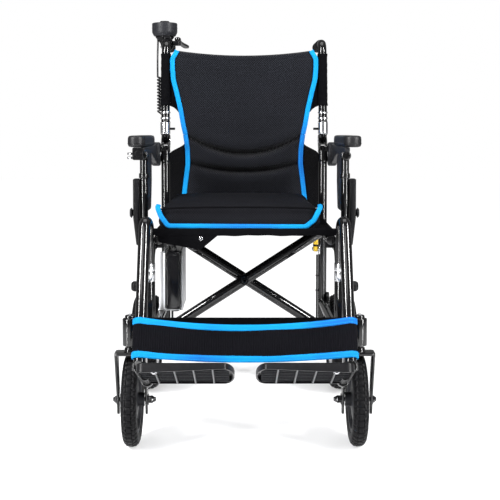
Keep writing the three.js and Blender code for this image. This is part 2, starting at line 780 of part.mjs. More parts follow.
// Caster axle: a bolt with a long domed nut inside the chair and a short one outside
function casterAxle() {
  const crownHalf = forkInnerHalf + forkLegThickness + restGap;
  const at = (x) => vec(x, casterAxleY, casterRadius);
  const [inner, outer] = [casterHalf - crownHalf, casterHalf + crownHalf];
  const shank = disc(at(inner - casterInnerNut), at(outer + casterOuterNut), casterAxleRadius, tubeSides);
  const nuts = [
    disc(at(inner - casterInnerNut / 2), at(inner), casterNutRadius, nutSides),
    disc(at(outer), at(outer + casterOuterNut / 2), casterNutRadius, nutSides),
  ];
  return join(shank, ...nuts);
}

// A tyre standing on the floor: rounded shoulders from the rim to the tread
function tyre(x, y, radius, rimRadius, width) {
  const half = width / 2;
  const inwards = tyreProfileShares.map(([up, across]) => [up, -across]);
  const outwards = tyreProfileShares.slice(0, -1).reverse();
  const roundness = Math.cos(Math.PI / wheelFacets); // the flats, not the corners, reach the full radius
  const profile = [...inwards, ...outwards, inwards[0]].map(([up, across]) => [
    (rimRadius + up * (radius - rimRadius)) / roundness, across * half]);
  return turned(profile, 'x', vec(x, y, radius), wheelFacets);
}

function casterHub() {
  const half = casterHubWidth / 2;
  const rim = casterRimRadius - restGap;
  const bore = casterAxleRadius + runGap;
  const sleeve = 3 * casterAxleRadius;
  const [root, wall, rimHalf] = [rim * rimRootShare, rim * rimWallShare, casterWidth / 2 * rimHalfShare];
  return turned([
    [bore, -half], [sleeve, -half], [sleeve, -half / 2], [root, -half / 4], [wall, -rimHalf], [rim, -rimHalf],
    [rim, rimHalf], [wall, rimHalf], [root, half / 4], [sleeve, half / 2], [sleeve, half], [bore, half],
    [bore, -half],
  ], 'x', vec(casterHalf, casterAxleY, casterRadius), hubFacets);
}

// Drive hub: the drum of the hub motor, with the rim round it
function driveHub() {
  const half = driveWidth / 2;
  const rim = driveRimRadius - restGap;
  const bore = axleRadius + runGap;
  const cap = motorRadius / 2;
  const [root, wall] = [rim * driveRootShare, rim * driveWallShare];
  const rimHalf = driveTyreWidth / 2 * rimHalfShare;
  const [innerEdge, innerStep, innerRoot] = drumInnerShares.map((share) => -half * share);
  const [outerEdge, outerStep, outerRoot] = drumOuterShares.map((share) => half * share);
  return turned([
    [bore, handGap - half], [cap, handGap - half], [motorRadius, innerEdge], [motorRadius, innerStep],
    [root, innerRoot], [wall, -rimHalf], [rim, -rimHalf], [rim, rimHalf], [wall, rimHalf], [root, outerRoot],
    [motorRadius, outerStep], [motorRadius, outerEdge], [cap, half], [bore, half], [bore, handGap - half],
  ], 'x', vec(driveCentre, rearAxleY, driveRadius), hubFacets);
}

// Below the hanger, places are measured from the tube's end: x across, y heelwards and z up along the tube.
const underHanger = (geometry) => geometry.rotateX(-slope).translate(0, hangerFoot.y, hangerFoot.z);

// Hanger: one tube from the receiver over the arch and down to the foot, with the footplate's pin on a lug
function hanger() {
  const bar = tube([
    vec(frameHalf, hangerPivotY, receiverTopZ + restGap),
    vec(frameHalf, hangerPivotY, hangerArchZ),
    archFront,
    hangerFoot,
  ], hangerRadius, { bend: hangerArchBend });
  const lugFront = handGap / 2 - plateHeel;
  const lug = slab('y', linkOutline([hangerHalf, footLugRadius / 2], [platePivotHalf, platePinZ],
    footLugRadius), lugFront, lugFront + footLugThickness);
  const pinFront = cutOverrun + handGap - plateHeel - plateKnuckleLength;
  const pin = disc(vec(platePivotHalf, lugFront + footLugThickness, platePinZ),
    vec(platePivotHalf, pinFront, platePinZ), hingePinRadius, pinSides);
  return join(bar, underHanger(lug), underHanger(pin));
}

function hangerCollar() {
  const inner = hangerRadius + collarEase;
  const [foot, top] = [receiverTopZ + restGap, receiverTopZ + restGap + collarLength];
  const outer = inner + collarWall;
  return turned([[inner, foot], [outer, foot], [outer, top], [inner, top], [inner, foot]], 'z',
    vec(frameHalf, hangerPivotY, 0), collarSides);
}

// Release knob: a pull pin with a round head on the outer side of the receiver
function releaseKnob() {
  const start = frameHalf + receiverRadius + restGap;
  const end = start + releaseKnobLength;
  const neck = releaseKnobRadius / 2;
  return turned([
    [0, start], [neck, start], [neck, end - releaseKnobRadius], [releaseKnobRadius, end - releaseKnobRadius],
    [releaseKnobRadius, end - neck], [releaseKnobRadius * releaseKnobDomeShare, end - neck / 3], [0, end],
  ], 'x', vec(0, hangerPivotY, receiverTopZ - releaseKnobRadius), barSides);
}

// The plan of a footplate, drawn in by an inset: round corners outside, and half an oval as its inner end
function plateOutline(inset) {
  const [toe, heel] = [inset - plateToe, -plateHeel - inset];
  const outer = plateOuterHalf - inset;
  const radius = plateCorner - inset;
  const quarter = Array.from({ length: cornerSteps + 1 }, (_, i) => Math.PI / 2 * i / cornerSteps);
  const oval = Array.from({ length: noseSteps + 1 }, (_, i) => Math.PI * (1 / 2 + i / noseSteps));
  const [side, front, rear] = [outer - radius, toe + radius, heel - radius];
  return [
    ...quarter.map((angle) => [side + radius * Math.sin(angle), front - radius * Math.cos(angle)]),
    ...quarter.map((angle) => [side + radius * Math.cos(angle), rear + radius * Math.sin(angle)]),
    ...oval.map((angle) => [plateInnerHalf + plateNose + (plateNose - inset) * Math.cos(angle),
      (toe + heel) / 2 + (heel - toe) / 2 * Math.sin(angle)]),
  ];
}

// Footplate: a ribbed tread with a deep front edge and the knuckle that turns on the hanger's pin
function footplate() {
  const foot = -plateDrop - plateThickness;
  const skinFoot = -plateDrop - plateSkin;
  const tread = slab('z', plateOutline(0), skinFoot, -plateDrop);
  const rim = cut(slab('z', plateOutline(0), foot, skinFoot + weldDepth),
    slab('z', plateOutline(plateRim), foot - cutOverrun, skinFoot + cutOverrun));
  const lipOuter = plateOuterHalf - plateCorner;
  const lip = slab('y', [
    [plateOuterHalf - plateLipReach, skinFoot], [lipOuter, skinFoot], [lipOuter, -plateDrop - plateLipDepth],
    [plateOuterHalf - plateLipReach, foot],
  ], -plateToe, plateRim - plateToe);
  const ribs = Array.from({ length: plateRibs }, (_, i) => {
    const x = plateOuterHalf - plateRibInset - plateRibSpacing * i;
    return block(x - plateRim / 2, x + plateRim / 2, weldDepth - plateToe, -plateHeel - weldDepth, foot,
      skinFoot + weldDepth);
  });
  const knuckleEnd = -plateHeel - plateKnuckleLength;
  const knuckle = disc(vec(platePivotHalf, -plateHeel, platePinZ), vec(platePivotHalf, knuckleEnd, platePinZ),
    plateKnuckleRadius, tubeSides);
  const bore = disc(vec(platePivotHalf, cutOverrun - plateHeel, platePinZ),
    vec(platePivotHalf, knuckleEnd + cutOverrun, platePinZ), hingePinRadius + runGap, pinSides);
  return underHanger(cut(join(tread, rim, lip, ...ribs, knuckle), bore));
}

// Armrest: a hub on the cane, a flat bow forward under the pad, and a leg that stands in the socket
function armFrame() {
  const hubEnd = armDiscInner + armDiscWidth;
  const hub = disc(vec(armDiscInner, caneY, armPivotZ), vec(hubEnd, caneY, armPivotZ), armDiscRadius,
    collarSides);
  const top = padFootZ - restGap;
  const padRear = padFrontY + padLength;
  const bow = slab('x', [
    [caneY, armPivotZ + armDiscRadius - weldDepth],
    [padRear, top],
    [armFrontY, top],
    [armFrontY, top - armPlateDepth * armHeelShare],
    [legY, top - armPlateDepth],
    [(legY + caneY) / 2, top - armPlateDepth],
    [(padRear + caneY) / 2, armPivotZ - armDiscRadius * armHeelShare],
    [caneY, armPivotZ - armDiscRadius + weldDepth],
  ], armHalf - armPlateWidth / 2, armHalf + armPlateWidth / 2);
  const leg = disc(vec(armHalf, legY, legFootZ + restGap), vec(armHalf, legY, top - armPlateDepth / 2),
    legRadius, tubeSides);
  const bore = disc(vec(armDiscInner - cutOverrun, caneY, armPivotZ),
    vec(hubEnd + cutOverrun, caneY, armPivotZ), armPinRadius + runGap, tubeSides);
  return cut(join(hub, bow, leg), bore);
}

const armPad = () => slab('z', roundedOutline(padHalf - padWidth / 2, padHalf + padWidth / 2, padFrontY,
  padFrontY + padLength, padRound), padFootZ, padFootZ + padThickness, padEase);

// Side guard: a thin panel that hangs under the bow behind its leg
function armGuard() {
  const top = padFootZ - 2 * restGap - armPlateDepth;
  const middle = (legY + caneY) / 2;
  const slopeEndY = (padFrontY + padLength + caneY) / 2;
  const slopeEndZ = armPivotZ - armDiscRadius * armHeelShare - restGap;
  const [front, rear] = [legY + legRadius + restGap, middle + guardTail];
  const rearZ = top + (slopeEndZ - top) * (rear - middle) / (slopeEndY - middle);
  const foot = padFootZ - armPlateDepth - guardHeight;
  return slab('x', [
    [front, top], [front, foot], [rear - guardTaper, foot], [rear, (foot + rearZ) / 2], [rear, rearZ], [middle, top],
  ], armHalf - guardThickness / 2, armHalf + guardThickness / 2);
}

// Socket: an upright plate outside the armrest's leg, with the ledge under the leg and a foot on the rail
function armSocket() {
  const socketOuter = socketInner + socketThickness;
  const [front, rear] = [legY - socketDepth / 2, legY + socketDepth / 2];
  const footZ = upperRailZ - socketFootHeight / 2;
  const topZ = upperRailZ + socketRise;
  const kneeZ = legFootZ + pullKnobRise - pullKnobRadius;
  const upright = slab('y', [
    [socketInner, footZ], [socketOuter - socketTaper, footZ], [socketOuter, kneeZ], [socketOuter, topZ],
    [socketInner, topZ],
  ], front, rear, socketEase);
  const railSide = frameHalf + tubeRadius + restGap;
  const inset = socketDepth / 4;
  const foot = block(railSide, socketInner + weldDepth, front + inset, rear - inset, footZ + socketEase,
    footZ + socketEase + socketFootHeight);
  const ledge = block(armHalf - legRadius, socketInner + weldDepth, front + inset, rear - inset,
    legFootZ - ledgeThickness, legFootZ);
  return join(upright, foot, ledge);
}

function pullKnob() {
  const start = socketInner + socketThickness + restGap;
  const end = start + pullKnobLength;
  return turned([
    [0, start], [pullKnobRadius / 2, start], [pullKnobRadius, start + pullKnobLength / 3],
    [pullKnobRadius, end - pullKnobLength / 4], [pullKnobRadius * pullKnobFaceShare, end], [0, end],
  ], 'x', vec(0, legY, legFootZ + pullKnobRise), tubeSides);
}

// Clamp under the front of the right pad, for a control that the rider would use: a housing before the bow
// and its leg, with two bars that stand out from its outer side
function padClamp() {
  const top = padFootZ - restGap;
  const inner = padHalf - padWidth / 2 + clampInset;
  const rearY = Math.min(armFrontY, legY - legRadius) - restGap;
  const body = slab('y', roundedOutline(inner, inner + clampWidth, top - clampHeight, top, padEase),
    rearY - clampDepth, rearY);
  const barY = rearY - clampDepth / 2;
  const [barStart, barEnd] = [inner + clampWidth - weldDepth, padHalf + padWidth / 2];
  const bars = [top - clampHeight + clampBarInset, top - clampHeight / 2].map((z) => disc(
    vec(barStart, barY, z), vec(barEnd, barY, z), clampBarRadius, pinSides));
  return join(body, ...bars);
}

// The line of an upper cane, from its foot over the bend to the end of its push handle
const upperCaneLine = [
  vec(frameHalf, caneY, upperCaneFootZ),
  vec(handleHalf, caneY, handleZ),
  vec(handleEndHalf, handleEndY, handleZ),
];
const onCane = (z) => upperCaneLine[0].clone().lerp(
  upperCaneLine[1], (z - upperCaneFootZ) / (handleZ - upperCaneFootZ));
const onHandle = (y) => upperCaneLine[1].clone().lerp(upperCaneLine[2], (y - caneY) / (handleEndY - caneY));

function upperCane() {
  const bar = tube(upperCaneLine, tubeRadius, { bend: handleBend });
  const tongueHalf = earInner - runGap;
  const tongue = slab('x', hingeLink(upperCaneFootZ + cutOverrun, tongueRadius), frameHalf - tongueHalf,
    frameHalf + tongueHalf);
  const bore = disc(vec(frameHalf - tubeRadius, backPivotY, backPivotZ),
    vec(frameHalf + tubeRadius, backPivotY, backPivotZ), hingePinRadius + runGap, pinSides);
  return cut(join(bar, tongue), bore);
}

function sleeve() {
  const topZ = sleeveFootZ + sleeveLength;
  const bore = tubeRadius + runGap;
  return cut(disc(onCane(sleeveFootZ), onCane(topZ), bore + sleeveWall),
    disc(onCane(sleeveFootZ - cutOverrun), onCane(topZ + cutOverrun), bore, tubeSides));
}

const grip = () => cut(
  disc(onHandle(gripStartY), onHandle(gripStartY + gripLength), gripRadius),
  disc(onHandle(gripStartY - cutOverrun), onHandle(handleEndY + restGap), tubeRadius + runGap, tubeSides));

// Tab that releases the back joint, on the inner side of the upper cane
function releaseTab() {
  const outer = onCane(tabZ).x - tubeRadius - restGap;
  return slab('z', roundedOutline(outer - tabLength, outer, caneY - tabWidth / 2, caneY + tabWidth / 2,
    tabWidth / 3), tabZ - tabThickness / 2, tabZ + tabThickness / 2);
}

// Seat sling over the rails, with its front hem and the dark gusset that hangs in the rider's right corner
function seatSling() {
  const top = slingFootZ + slingThickness;
  const sheet = block(-slingHalf, slingHalf, slingFrontY, slingRearY, slingFootZ, top);
  const hem = block(-slingHalf, slingHalf, slingFrontY, slingFrontY + hemThickness, slingFootZ - handGap,
    slingFootZ - handGap + hemHeight);
  const gusset = slab('y', [
    [-pivotHalf, top],
    [-pivotHalf, slingFootZ - hemHeight],
    [gussetTipInset - pivotHalf, seatRailZ - gussetDrop],
    [gussetWidth - pivotHalf, top],
  ], slingFrontY, slingFrontY + hemThickness);
  return join(sheet, hem, gusset);
}

// Cushion: full in the middle, rolled down to its rim on all four sides
function seatCushion() {
  const footZ = slingFootZ + slingThickness + restGap;
  const [front, rear] = [slingFrontY + cushionFrontGap, slingRearY - cushionRearGap];
  const place = (u, v, z) => vec((2 * u - 1) * (pivotHalf - cushionInset) - cushionShift,
    front + v * (rear - front), z);
  const eased = (share) => 0.5 - 0.5 * Math.cos(Math.PI * share);
  const face = (u, v) => {
    const [across, deep] = [2 * eased(u) - 1, 2 * eased(v) - 1];
    const full = Math.sqrt((1 - across ** cushionSquareness) * (1 - deep ** cushionSquareness));
    const crown = cushionCrown * (1 - across ** 2) * (1 - deep ** 2);
    return place(eased(u), eased(v), footZ + cushionRim + (cushionThickness - cushionRim) * full + crown);
  };
  return padded(cushionCells, cushionCells, face, (u, v) => place(eased(u), eased(v), footZ));
}

// Half widths of the padding between the pipings, and of the cloth with its wings, up the back
const onBack = (shares) => shares.map(([up, across]) => [
  backFootZ + up * (backTopZ - backFootZ), across * backClothHalf]);
const paddingHalves = onBack([...waistShares, ...shoulderShares]);
const clothHalves = onBack([...wingShares, ...shoulderShares]);

// The height of the upper channel, at a share across the cloth: the two panels of the back part in it
function channelAt(across) {
  let z = upperChannelZ;
  for (let round = 0; round < seamRounds; round += 1) {
    const inPadding = Math.min(Math.abs(across) * along(clothHalves, z) / along(paddingHalves, z), 1);
    z = upperChannelZ + upperChannelSmile * inPadding ** 2;
  }
  return z;
}

// One panel of the back: cloth slung between the canes, padded in the middle, with two smiling channels.
// Its foot and its top are heights that may change with the share across.
function backPanel(foot, top, dip, rows) {
  const surface = (face) => (u, v) => {
    const across = 2 * u - 1;
    const z = foot(across) + v * (top(across) - foot(across));
    const x = across * along(clothHalves, z);
    const inPadding = Math.min(Math.abs(x) / along(paddingHalves, z), 1);
    const channels = [
      [upperChannelZ, upperChannelSmile],
      [backFootZ + lowerChannelRise, lowerChannelSmile],
    ].map(([middleZ, smile]) => Math.exp(-(((z - middleZ - smile * inPadding ** 2) / channelHalf) ** 2)));
    const padding = (backPadding - channelDepth * Math.max(...channels)) * (1 - inPadding ** backSquareness);
    const y = caneY - backFaceInset + backSag * (1 - across ** 2) + (face ? -padding : backCloth);
    return vec(x, y, z - dip * v * (1 - across ** 2));
  };
  return padded(backColumns, rows, surface(true), surface(false));
}

// Calf strap: a band round the outer sides and fronts of both hanger tubes, open behind
function calfStrap() {
  const inner = hangerRadius + strapEase;
  const wrap = (radius) => Array.from({ length: strapSteps + 1 }, (_, i) => {
    const angle = toRadians(strapStartDeg - strapSweepDeg * i / strapSteps);
    return [hangerHalf + radius * Math.cos(angle), radius * Math.sin(angle)];
  });
  const line = (radius) => {
    const left = wrap(radius);
    const [x, y] = left[strapSteps];
    const between = Array.from({ length: strapSpans - 1 }, (_, i) => [x * (1 - 2 * (i + 1) / strapSpans), y]);
    return [...left, ...between, ...left.map(([u, v]) => [-u, v]).reverse()];
  };
  const band = slab('z', [...line(inner + strapThickness), ...line(inner).reverse()], strapRise,
    strapRise + strapHeight);
  const at = band.attributes.position;
  for (let i = 0; i < at.count; i += 1) {
    const up = (at.getZ(i) - strapRise) / strapHeight;
    const slack = Math.max(0, 1 - (at.getX(i) / hangerHalf) ** 2);
    at.setZ(i, at.getZ(i) - slack * (strapFootSag + up * (strapTopSag - strapFootSag)));
  }
  return underHanger(band);
}

// Battery: a case with eased edges standing in its cradle, and the neck of its lock below
function battery() {
  const outer = batteryInner + batteryWidth;
  const shell = slab('y', roundedOutline(batteryInner, outer, batteryFootZ, batteryTopZ, batteryEase),
    batteryFrontY, batteryFrontY + batteryLength, batteryEase / 2);
  const [middle, middleY] = [batteryInner + batteryWidth / 2, batteryFrontY + batteryLength / 2];
  const neck = disc(vec(middle, middleY, lowerRailZ - batteryNeckDrop),
    vec(middle, middleY, batteryFootZ + weldDepth), batteryNeckRadius, barSides);
  return join(shell, neck);
}

function batteryCradle() {
  const outer = batteryInner + batteryWidth;
  const floorZ = batteryFootZ - restGap - cradleFloor;
  const [front, rear] = [batteryFrontY + cradleInset, batteryFrontY + batteryLength - cradleInset];
  const innerWall = block(batteryInner - restGap - cradleWall, batteryInner - restGap, front, rear, floorZ,
    batteryTopZ);
  const outerWall = block(outer + restGap, outer + restGap + cradleWall, front, rear, floorZ, batteryTopZ);
  const floor = block(batteryInner - restGap - cradleWall, frameHalf + tubeRadius / 2, front, rear, floorZ,
    floorZ + cradleFloor);
  const [middle, middleY] = [batteryInner + batteryWidth / 2, (front + rear) / 2];
  const hole = disc(vec(middle, middleY, floorZ - cutOverrun), vec(middle, middleY, floorZ + 2 * cradleFloor),
    batteryNeckRadius + runGap);
  return cut(join(innerWall, outerWall, floor), hole);
}

// Battery cable: up out of the case, back over it, down the inner side of the cane and out to the motor
function batteryCable() {
  const start = batteryInner + batteryWidth / 3;
  const y = batteryFrontY + cradleInset;
  const overZ = batteryTopZ + cableBend + handGap;
  const besideCane = frameHalf - tubeRadius - cableRadius - handGap;
  return tube([
    vec(start, y, batteryTopZ + restGap),
    vec(start, y, overZ),
    vec(besideCane, y + 4 * cableBend, overZ),
    vec(besideCane, caneY, overZ),
    vec(besideCane, caneY, caneFootZ - cableBend),
    vec(besideCane, rearAxleY, cableEndZ),
    vec(frameHalf + tubeRadius - weldDepth - restGap, rearAxleY, cableEndZ),
  ], cableRadius, { bend: cableBend, sides: cableSides });
}

// Clamp of the attendant's control round the right handle, with the mast, the table and the brake's lug
function controlClamp() {
  const [from, to] = [onHandle(controlClampY - controlClampHalf), onHandle(controlClampY + controlClampHalf)];
  const centre = onHandle(controlClampY);
  const wallRadius = tubeRadius + runGap + controlClampWall;
  const tableZ = controlFootZ - restGap;
  const band = disc(from, to, wallRadius);
  const mast = block(centre.x - mastHalf, centre.x + mastHalf, from.y, to.y, handleZ, tableZ - weldDepth);
  const table = slab('z', roundedOutline(centre.x - mastHalf, controlHalf + mastHalf, from.y,
    controlY + 2 * mastHalf, mastHalf / 2), tableZ - controlClampWall, tableZ);
  const lugTop = handleZ + brakeRise;
  const lug = slab('z', linkOutline([brakePivotHalf, controlClampY], [centre.x, controlClampY],
    brakeLugRadius), lugTop - brakeThickness, lugTop);
  const pin = disc(vec(brakePivotHalf, controlClampY, lugTop - weldDepth),
    vec(brakePivotHalf, controlClampY, lugTop + brakeThickness + 2 * handGap), hingePinRadius, pinSides);
  const bore = disc(onHandle(controlClampY - 2 * controlClampHalf),
    onHandle(controlClampY + 2 * controlClampHalf), tubeRadius + restGap, tubeSides);
  return cut(join(band, mast, table, lug, pin), bore);
}

// Brake lever: a flat blade that falls evenly from its pin to its tip
function brakeLever() {
  const fall = brakeDrop / brakeLength;
  const foot = handleZ + brakeRise + restGap + fall * brakeLugRadius;
  const blade = slab('z', linkOutline([brakePivotHalf, controlClampY],
    [brakePivotHalf - brakeFlare, controlClampY + brakeLength], brakeLugRadius), foot, foot + brakeThickness)
    .applyMatrix4(new THREE.Matrix4().makeShear(0, 0, 0, -fall, 0, 0))
    .translate(0, 0, fall * controlClampY);
  const bore = disc(vec(brakePivotHalf, controlClampY, foot - cutOverrun),
    vec(brakePivotHalf, controlClampY, foot + brakeThickness + cutOverrun), hingePinRadius + runGap,
    pinSides);
  return cut(blade, bore);
}

const controlHousing = () => turned([
  [0, controlFootZ],
  [controlRadius * controlFootShare, controlFootZ],
  [controlRadius, controlFootZ + controlTaper],
  [controlRadius, controlFootZ + controlHeight - controlEase],
  [controlRadius - controlEase, controlFootZ + controlHeight], [0, controlFootZ + controlHeight],
], 'z', vec(controlHalf, controlY, 0), housingSides);

function controlDial() {
  const foot = controlFootZ + controlHeight + restGap;
  return disc(vec(controlHalf, controlY, foot), vec(controlHalf, controlY, foot + dialHeight), dialRadius);
}

// Curly cord: straight out of the control's underside, a helix, and straight again into the plug
function curlyCord() {
  const exit = vec(controlHalf + cordExitOffset, controlY, controlFootZ - restGap);
  const [curlHalf, curlY] = [controlHalf + curlOffset, controlY - curlSetback];
  const curlTopZ = controlFootZ - curlDrop;
  const curlFootZ = curlTopZ - curlLength;
  const straight = 2 * cordRadius;
  const steps = curls * curlSteps;
  const helix = Array.from({ length: steps + 1 }, (_, i) => {
    const angle = 2 * Math.PI * i / curlSteps;
    return vec(curlHalf + curlRadius * Math.cos(angle), curlY + curlRadius * Math.sin(angle),
      curlTopZ + (curlFootZ - curlTopZ) * i / steps);
  });
  const plugTop = vec(frameHalf, caneY + tubeRadius + restGap + plugDepth / 2, tabZ + plugHeight + restGap);
  const points = [
    exit,
    exit.clone().add(vec(0, 0, -straight)),
    exit.clone().add(vec(0, 0, -4 * straight)),
    vec(curlHalf + curlRadius, curlY, (exit.z + curlTopZ) / 2),
    ...helix,
    vec(curlHalf, curlY, curlFootZ - straight),
    plugTop.clone().add(vec(0, 0, 2 * straight)),
    plugTop.clone().add(vec(0, 0, straight)),
    plugTop,
  ];
  let least = Infinity;
  for (let i = 0; i < points.length; i += 1) {
    for (let j = i + curlSteps / 2; j < points.length; j += 1) {
      least = Math.min(least, points[i].distanceTo(points[j]) - 2 * cordRadius);
    }
  }
  console.log(`least gap of the curly cord to itself ${least.toFixed(2)} mm`);
  return tube(points, cordRadius, { sides: cordSides });
}

function cordPlug() {
  const front = caneY + tubeRadius + restGap;
  return slab('z', roundedOutline(frameHalf - plugWidth / 2, frameHalf + plugWidth / 2, front,
    front + plugDepth, cordRadius), tabZ, tabZ + plugHeight);
}

// Clutch lever: a paddle on a pin that stands out from the inner side of the left cane
function clutchLever() {
  const outer = frameHalf - tubeRadius - runGap;
  const paddle = slab('x', linkOutline([caneY, clutchPivotZ], [caneY, clutchPivotZ + clutchLength],
    clutchWidth / 2 + handGap), outer - clutchThickness, outer);
  const bore = disc(vec(outer - clutchThickness - cutOverrun, caneY, clutchPivotZ),
    vec(outer + cutOverrun, caneY, clutchPivotZ), clutchPinRadius + runGap, pinSides);
  return cut(paddle, bore);
}

function clutchPin() {
  const inner = frameHalf - tubeRadius - runGap - clutchThickness - runGap;
  return join(
    disc(vec(inner - clutchPinHead / 2, caneY, clutchPivotZ), vec(frameHalf, caneY, clutchPivotZ),
      clutchPinRadius, pinSides),
    disc(vec(inner - clutchPinHead / 2, caneY, clutchPivotZ), vec(inner, caneY, clutchPivotZ), clutchPinHead,
      pinSides));
}

function clutchCable() {
  const beside = frameHalf - tubeRadius - clutchCableRadius - restGap;
  const top = clutchPivotZ - clutchWidth - handGap;
  return tube([
    vec(beside, caneY, top),
    vec(beside, caneY, caneFootZ - cableBend),
    vec(beside, rearAxleY, cableEndZ),
    vec(frameHalf + tubeRadius - weldDepth - restGap, rearAxleY, cableEndZ),
  ], clutchCableRadius, { bend: cableBend, sides: cableSides });
}

for (const [name, mirror] of [['left', 1], ['right', -1]]) {
  const side = new THREE.Group();
  side.scale.x = mirror;
  chair.add(side);
  const here = (piece, geometry, finish) => add(`${name}_${piece}`, geometry, finish, side);
  const frame = sideFrame(braceY + mirror * braceStep);
  here('side_frame', mirror > 0 ? join(frame, clutchPin()) : frame, 'paintedTube');
  here('caster_fork', casterFork(), 'paintedTube');
  here('caster_axle', casterAxle(), 'steel');
  here('caster_hub', casterHub(), 'plastic');
  here('caster_tyre', tyre(casterHalf, casterAxleY, casterRadius, casterRimRadius, casterWidth), 'rubber');
  here('drive_hub', driveHub(), 'aluminium');
  here('drive_tyre', tyre(driveCentre, rearAxleY, driveRadius, driveRimRadius, driveTyreWidth), 'rubber');
  here('hanger', hanger(), 'paintedTube');
  here('hanger_collar', hangerCollar(), 'steel');
  here('hanger_knob', releaseKnob(), 'plastic');
  here('footplate', footplate(), 'plastic');
  here('arm_frame', armFrame(), 'plastic');
  here('arm_pad', armPad(), 'rubber');
  here('arm_guard', armGuard(), 'plastic');
  here('arm_socket', armSocket(), 'plastic');
  here('arm_socket_knob', pullKnob(), 'plastic');
  here('upper_cane', upperCane(), 'paintedTube');
  here('cane_sleeve', sleeve(), 'fabric');
  here('grip', grip(), 'rubber');
  here('release_tab', releaseTab(), 'plastic');
  if (mirror > 0) {
    here('clutch_lever', clutchLever(), 'yellow');
    here('clutch_cable', clutchCable(), 'rubber');
  } else {
    here('battery', battery(), 'plastic');
    here('battery_cradle', batteryCradle(), 'aluminium');
    here('battery_cable', batteryCable(), 'rubber');
    here('pad_clamp', padClamp(), 'aluminium');
    here('control_clamp', controlClamp(), 'plastic');
    here('control_housing', controlHousing(), 'plastic');
    here('control_dial', controlDial(), 'plastic');
    here('brake_lever', brakeLever(), 'paintedTube');
    here('curly_cord', curlyCord(), 'rubber');
    here('cord_plug', cordPlug(), 'plastic');
  }
}
add('left_brace', brace(1, braceY + braceStep), 'paintedTube');
add('right_brace', brace(-1, braceY - braceStep), 'paintedTube');
add('brace_bolt', braceBolt(), 'steel');
add('seat_sling', seatSling(), 'fabric');
add('seat_cushion', seatCushion(), 'fabric');
add('back_upper', backPanel((across) => channelAt(across) + backSeamGap / 2, () => backTopZ, backTopDip,
  backUpperRows), 'fabric');
add('back_lower', backPanel(() => backFootZ, (across) => channelAt(across) - backSeamGap / 2, 0,
  backLowerRows), 'fabric');
add('calf_strap', calfStrap(), 'fabric');

export default chair;
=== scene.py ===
import math

import bmesh
import bpy
import numpy as np
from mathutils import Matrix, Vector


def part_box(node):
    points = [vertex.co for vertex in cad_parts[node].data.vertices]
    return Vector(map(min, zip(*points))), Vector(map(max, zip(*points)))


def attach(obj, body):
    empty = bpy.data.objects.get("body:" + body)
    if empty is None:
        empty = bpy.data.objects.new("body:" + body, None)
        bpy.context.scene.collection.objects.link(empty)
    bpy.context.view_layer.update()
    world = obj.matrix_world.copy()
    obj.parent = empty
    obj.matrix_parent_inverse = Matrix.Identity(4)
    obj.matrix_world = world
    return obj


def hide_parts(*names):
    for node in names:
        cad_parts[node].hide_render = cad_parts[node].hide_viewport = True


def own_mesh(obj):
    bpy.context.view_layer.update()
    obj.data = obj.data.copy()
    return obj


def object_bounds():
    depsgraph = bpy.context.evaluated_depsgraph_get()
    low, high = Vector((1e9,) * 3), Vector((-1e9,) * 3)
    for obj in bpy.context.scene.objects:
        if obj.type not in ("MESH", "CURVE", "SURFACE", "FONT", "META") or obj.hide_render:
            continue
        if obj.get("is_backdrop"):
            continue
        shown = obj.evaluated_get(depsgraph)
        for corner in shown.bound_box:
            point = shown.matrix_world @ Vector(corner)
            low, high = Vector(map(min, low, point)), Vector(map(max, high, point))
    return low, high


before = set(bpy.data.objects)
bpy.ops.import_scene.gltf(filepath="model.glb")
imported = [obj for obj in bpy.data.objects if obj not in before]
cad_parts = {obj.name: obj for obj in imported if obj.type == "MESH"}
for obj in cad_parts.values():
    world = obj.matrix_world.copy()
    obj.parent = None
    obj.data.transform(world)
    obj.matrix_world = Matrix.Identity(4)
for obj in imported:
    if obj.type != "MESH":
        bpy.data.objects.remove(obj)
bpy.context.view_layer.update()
scene = bpy.context.scene
print("frame loaded with", len(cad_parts), "nodes")

# The studio: a white floor and background, two bright strips for the lines on the tubes, and soft fills
studio = {
    "floorHalf": 12.0,
    "floorColor": (0.92, 0.92, 0.93, 1),
    "worldLight": 0.21,
    "lift": (0.34, 0.80),  # added for the camera above the lit floor, near and far, so that it reaches white
    "liftReach": (0.7, 2.6),
    "cameraPlace": (-0.007, -2.337, 0.677),
    "cameraPitch": -0.0662,
    "cameraYaw": -0.0039,
    "lens": 74.4,
    "shift": (0.009, -0.10),
    "boxes": [  # place, aim, width, height, watts
        ((-1.85, -1.75, 1.1), (0, 0, 0.55), 0.13, 2.1, 98),
        ((1.85, -1.65, 1.1), (0, 0, 0.55), 0.13, 2.1, 88),
        ((-1.55, -1.1, 1.95), (0, 0, 0.4), 0.12, 1.5, 64),
        ((1.55, -1.1, 1.95), (0, 0, 0.4), 0.12, 1.5, 64),
        ((0, 0.2, 2.7), (0, 0, 0.4), 1.8, 1.2, 18),
        ((-0.6, -2.3, 2.3), (0, 0, 0.6), 1.0, 0.7, 10),
    ],
}


def addNode(tree, kind, inputs=(), **settings):
    # a shader node with its settings and its inputs
    node = tree.nodes.new("ShaderNode" + kind)
    for name, value in settings.items():
        setattr(node, name, value)
    feed(tree, node, dict(inputs))
    return node


def feed(tree, node, inputs):
    # each input is a value, or the output that feeds it
    for name, value in inputs.items():
        if isinstance(value, bpy.types.NodeSocket):
            tree.links.new(value, node.inputs[name])
        else:
            node.inputs[name].default_value = value


def mathNode(tree, operation, *values):
    return addNode(tree, "Math", dict(enumerate(values)), operation=operation).outputs[0]


def mixColor(tree, factor, first, second):
    return addNode(tree, "Mix", {0: factor, 6: first, 7: second}, data_type="RGBA").outputs[2]


def startMaterial(name):
    material = bpy.data.materials.new(name)
    material.use_nodes = True
    return material, material.node_tree, material.node_tree.nodes["Principled BSDF"]


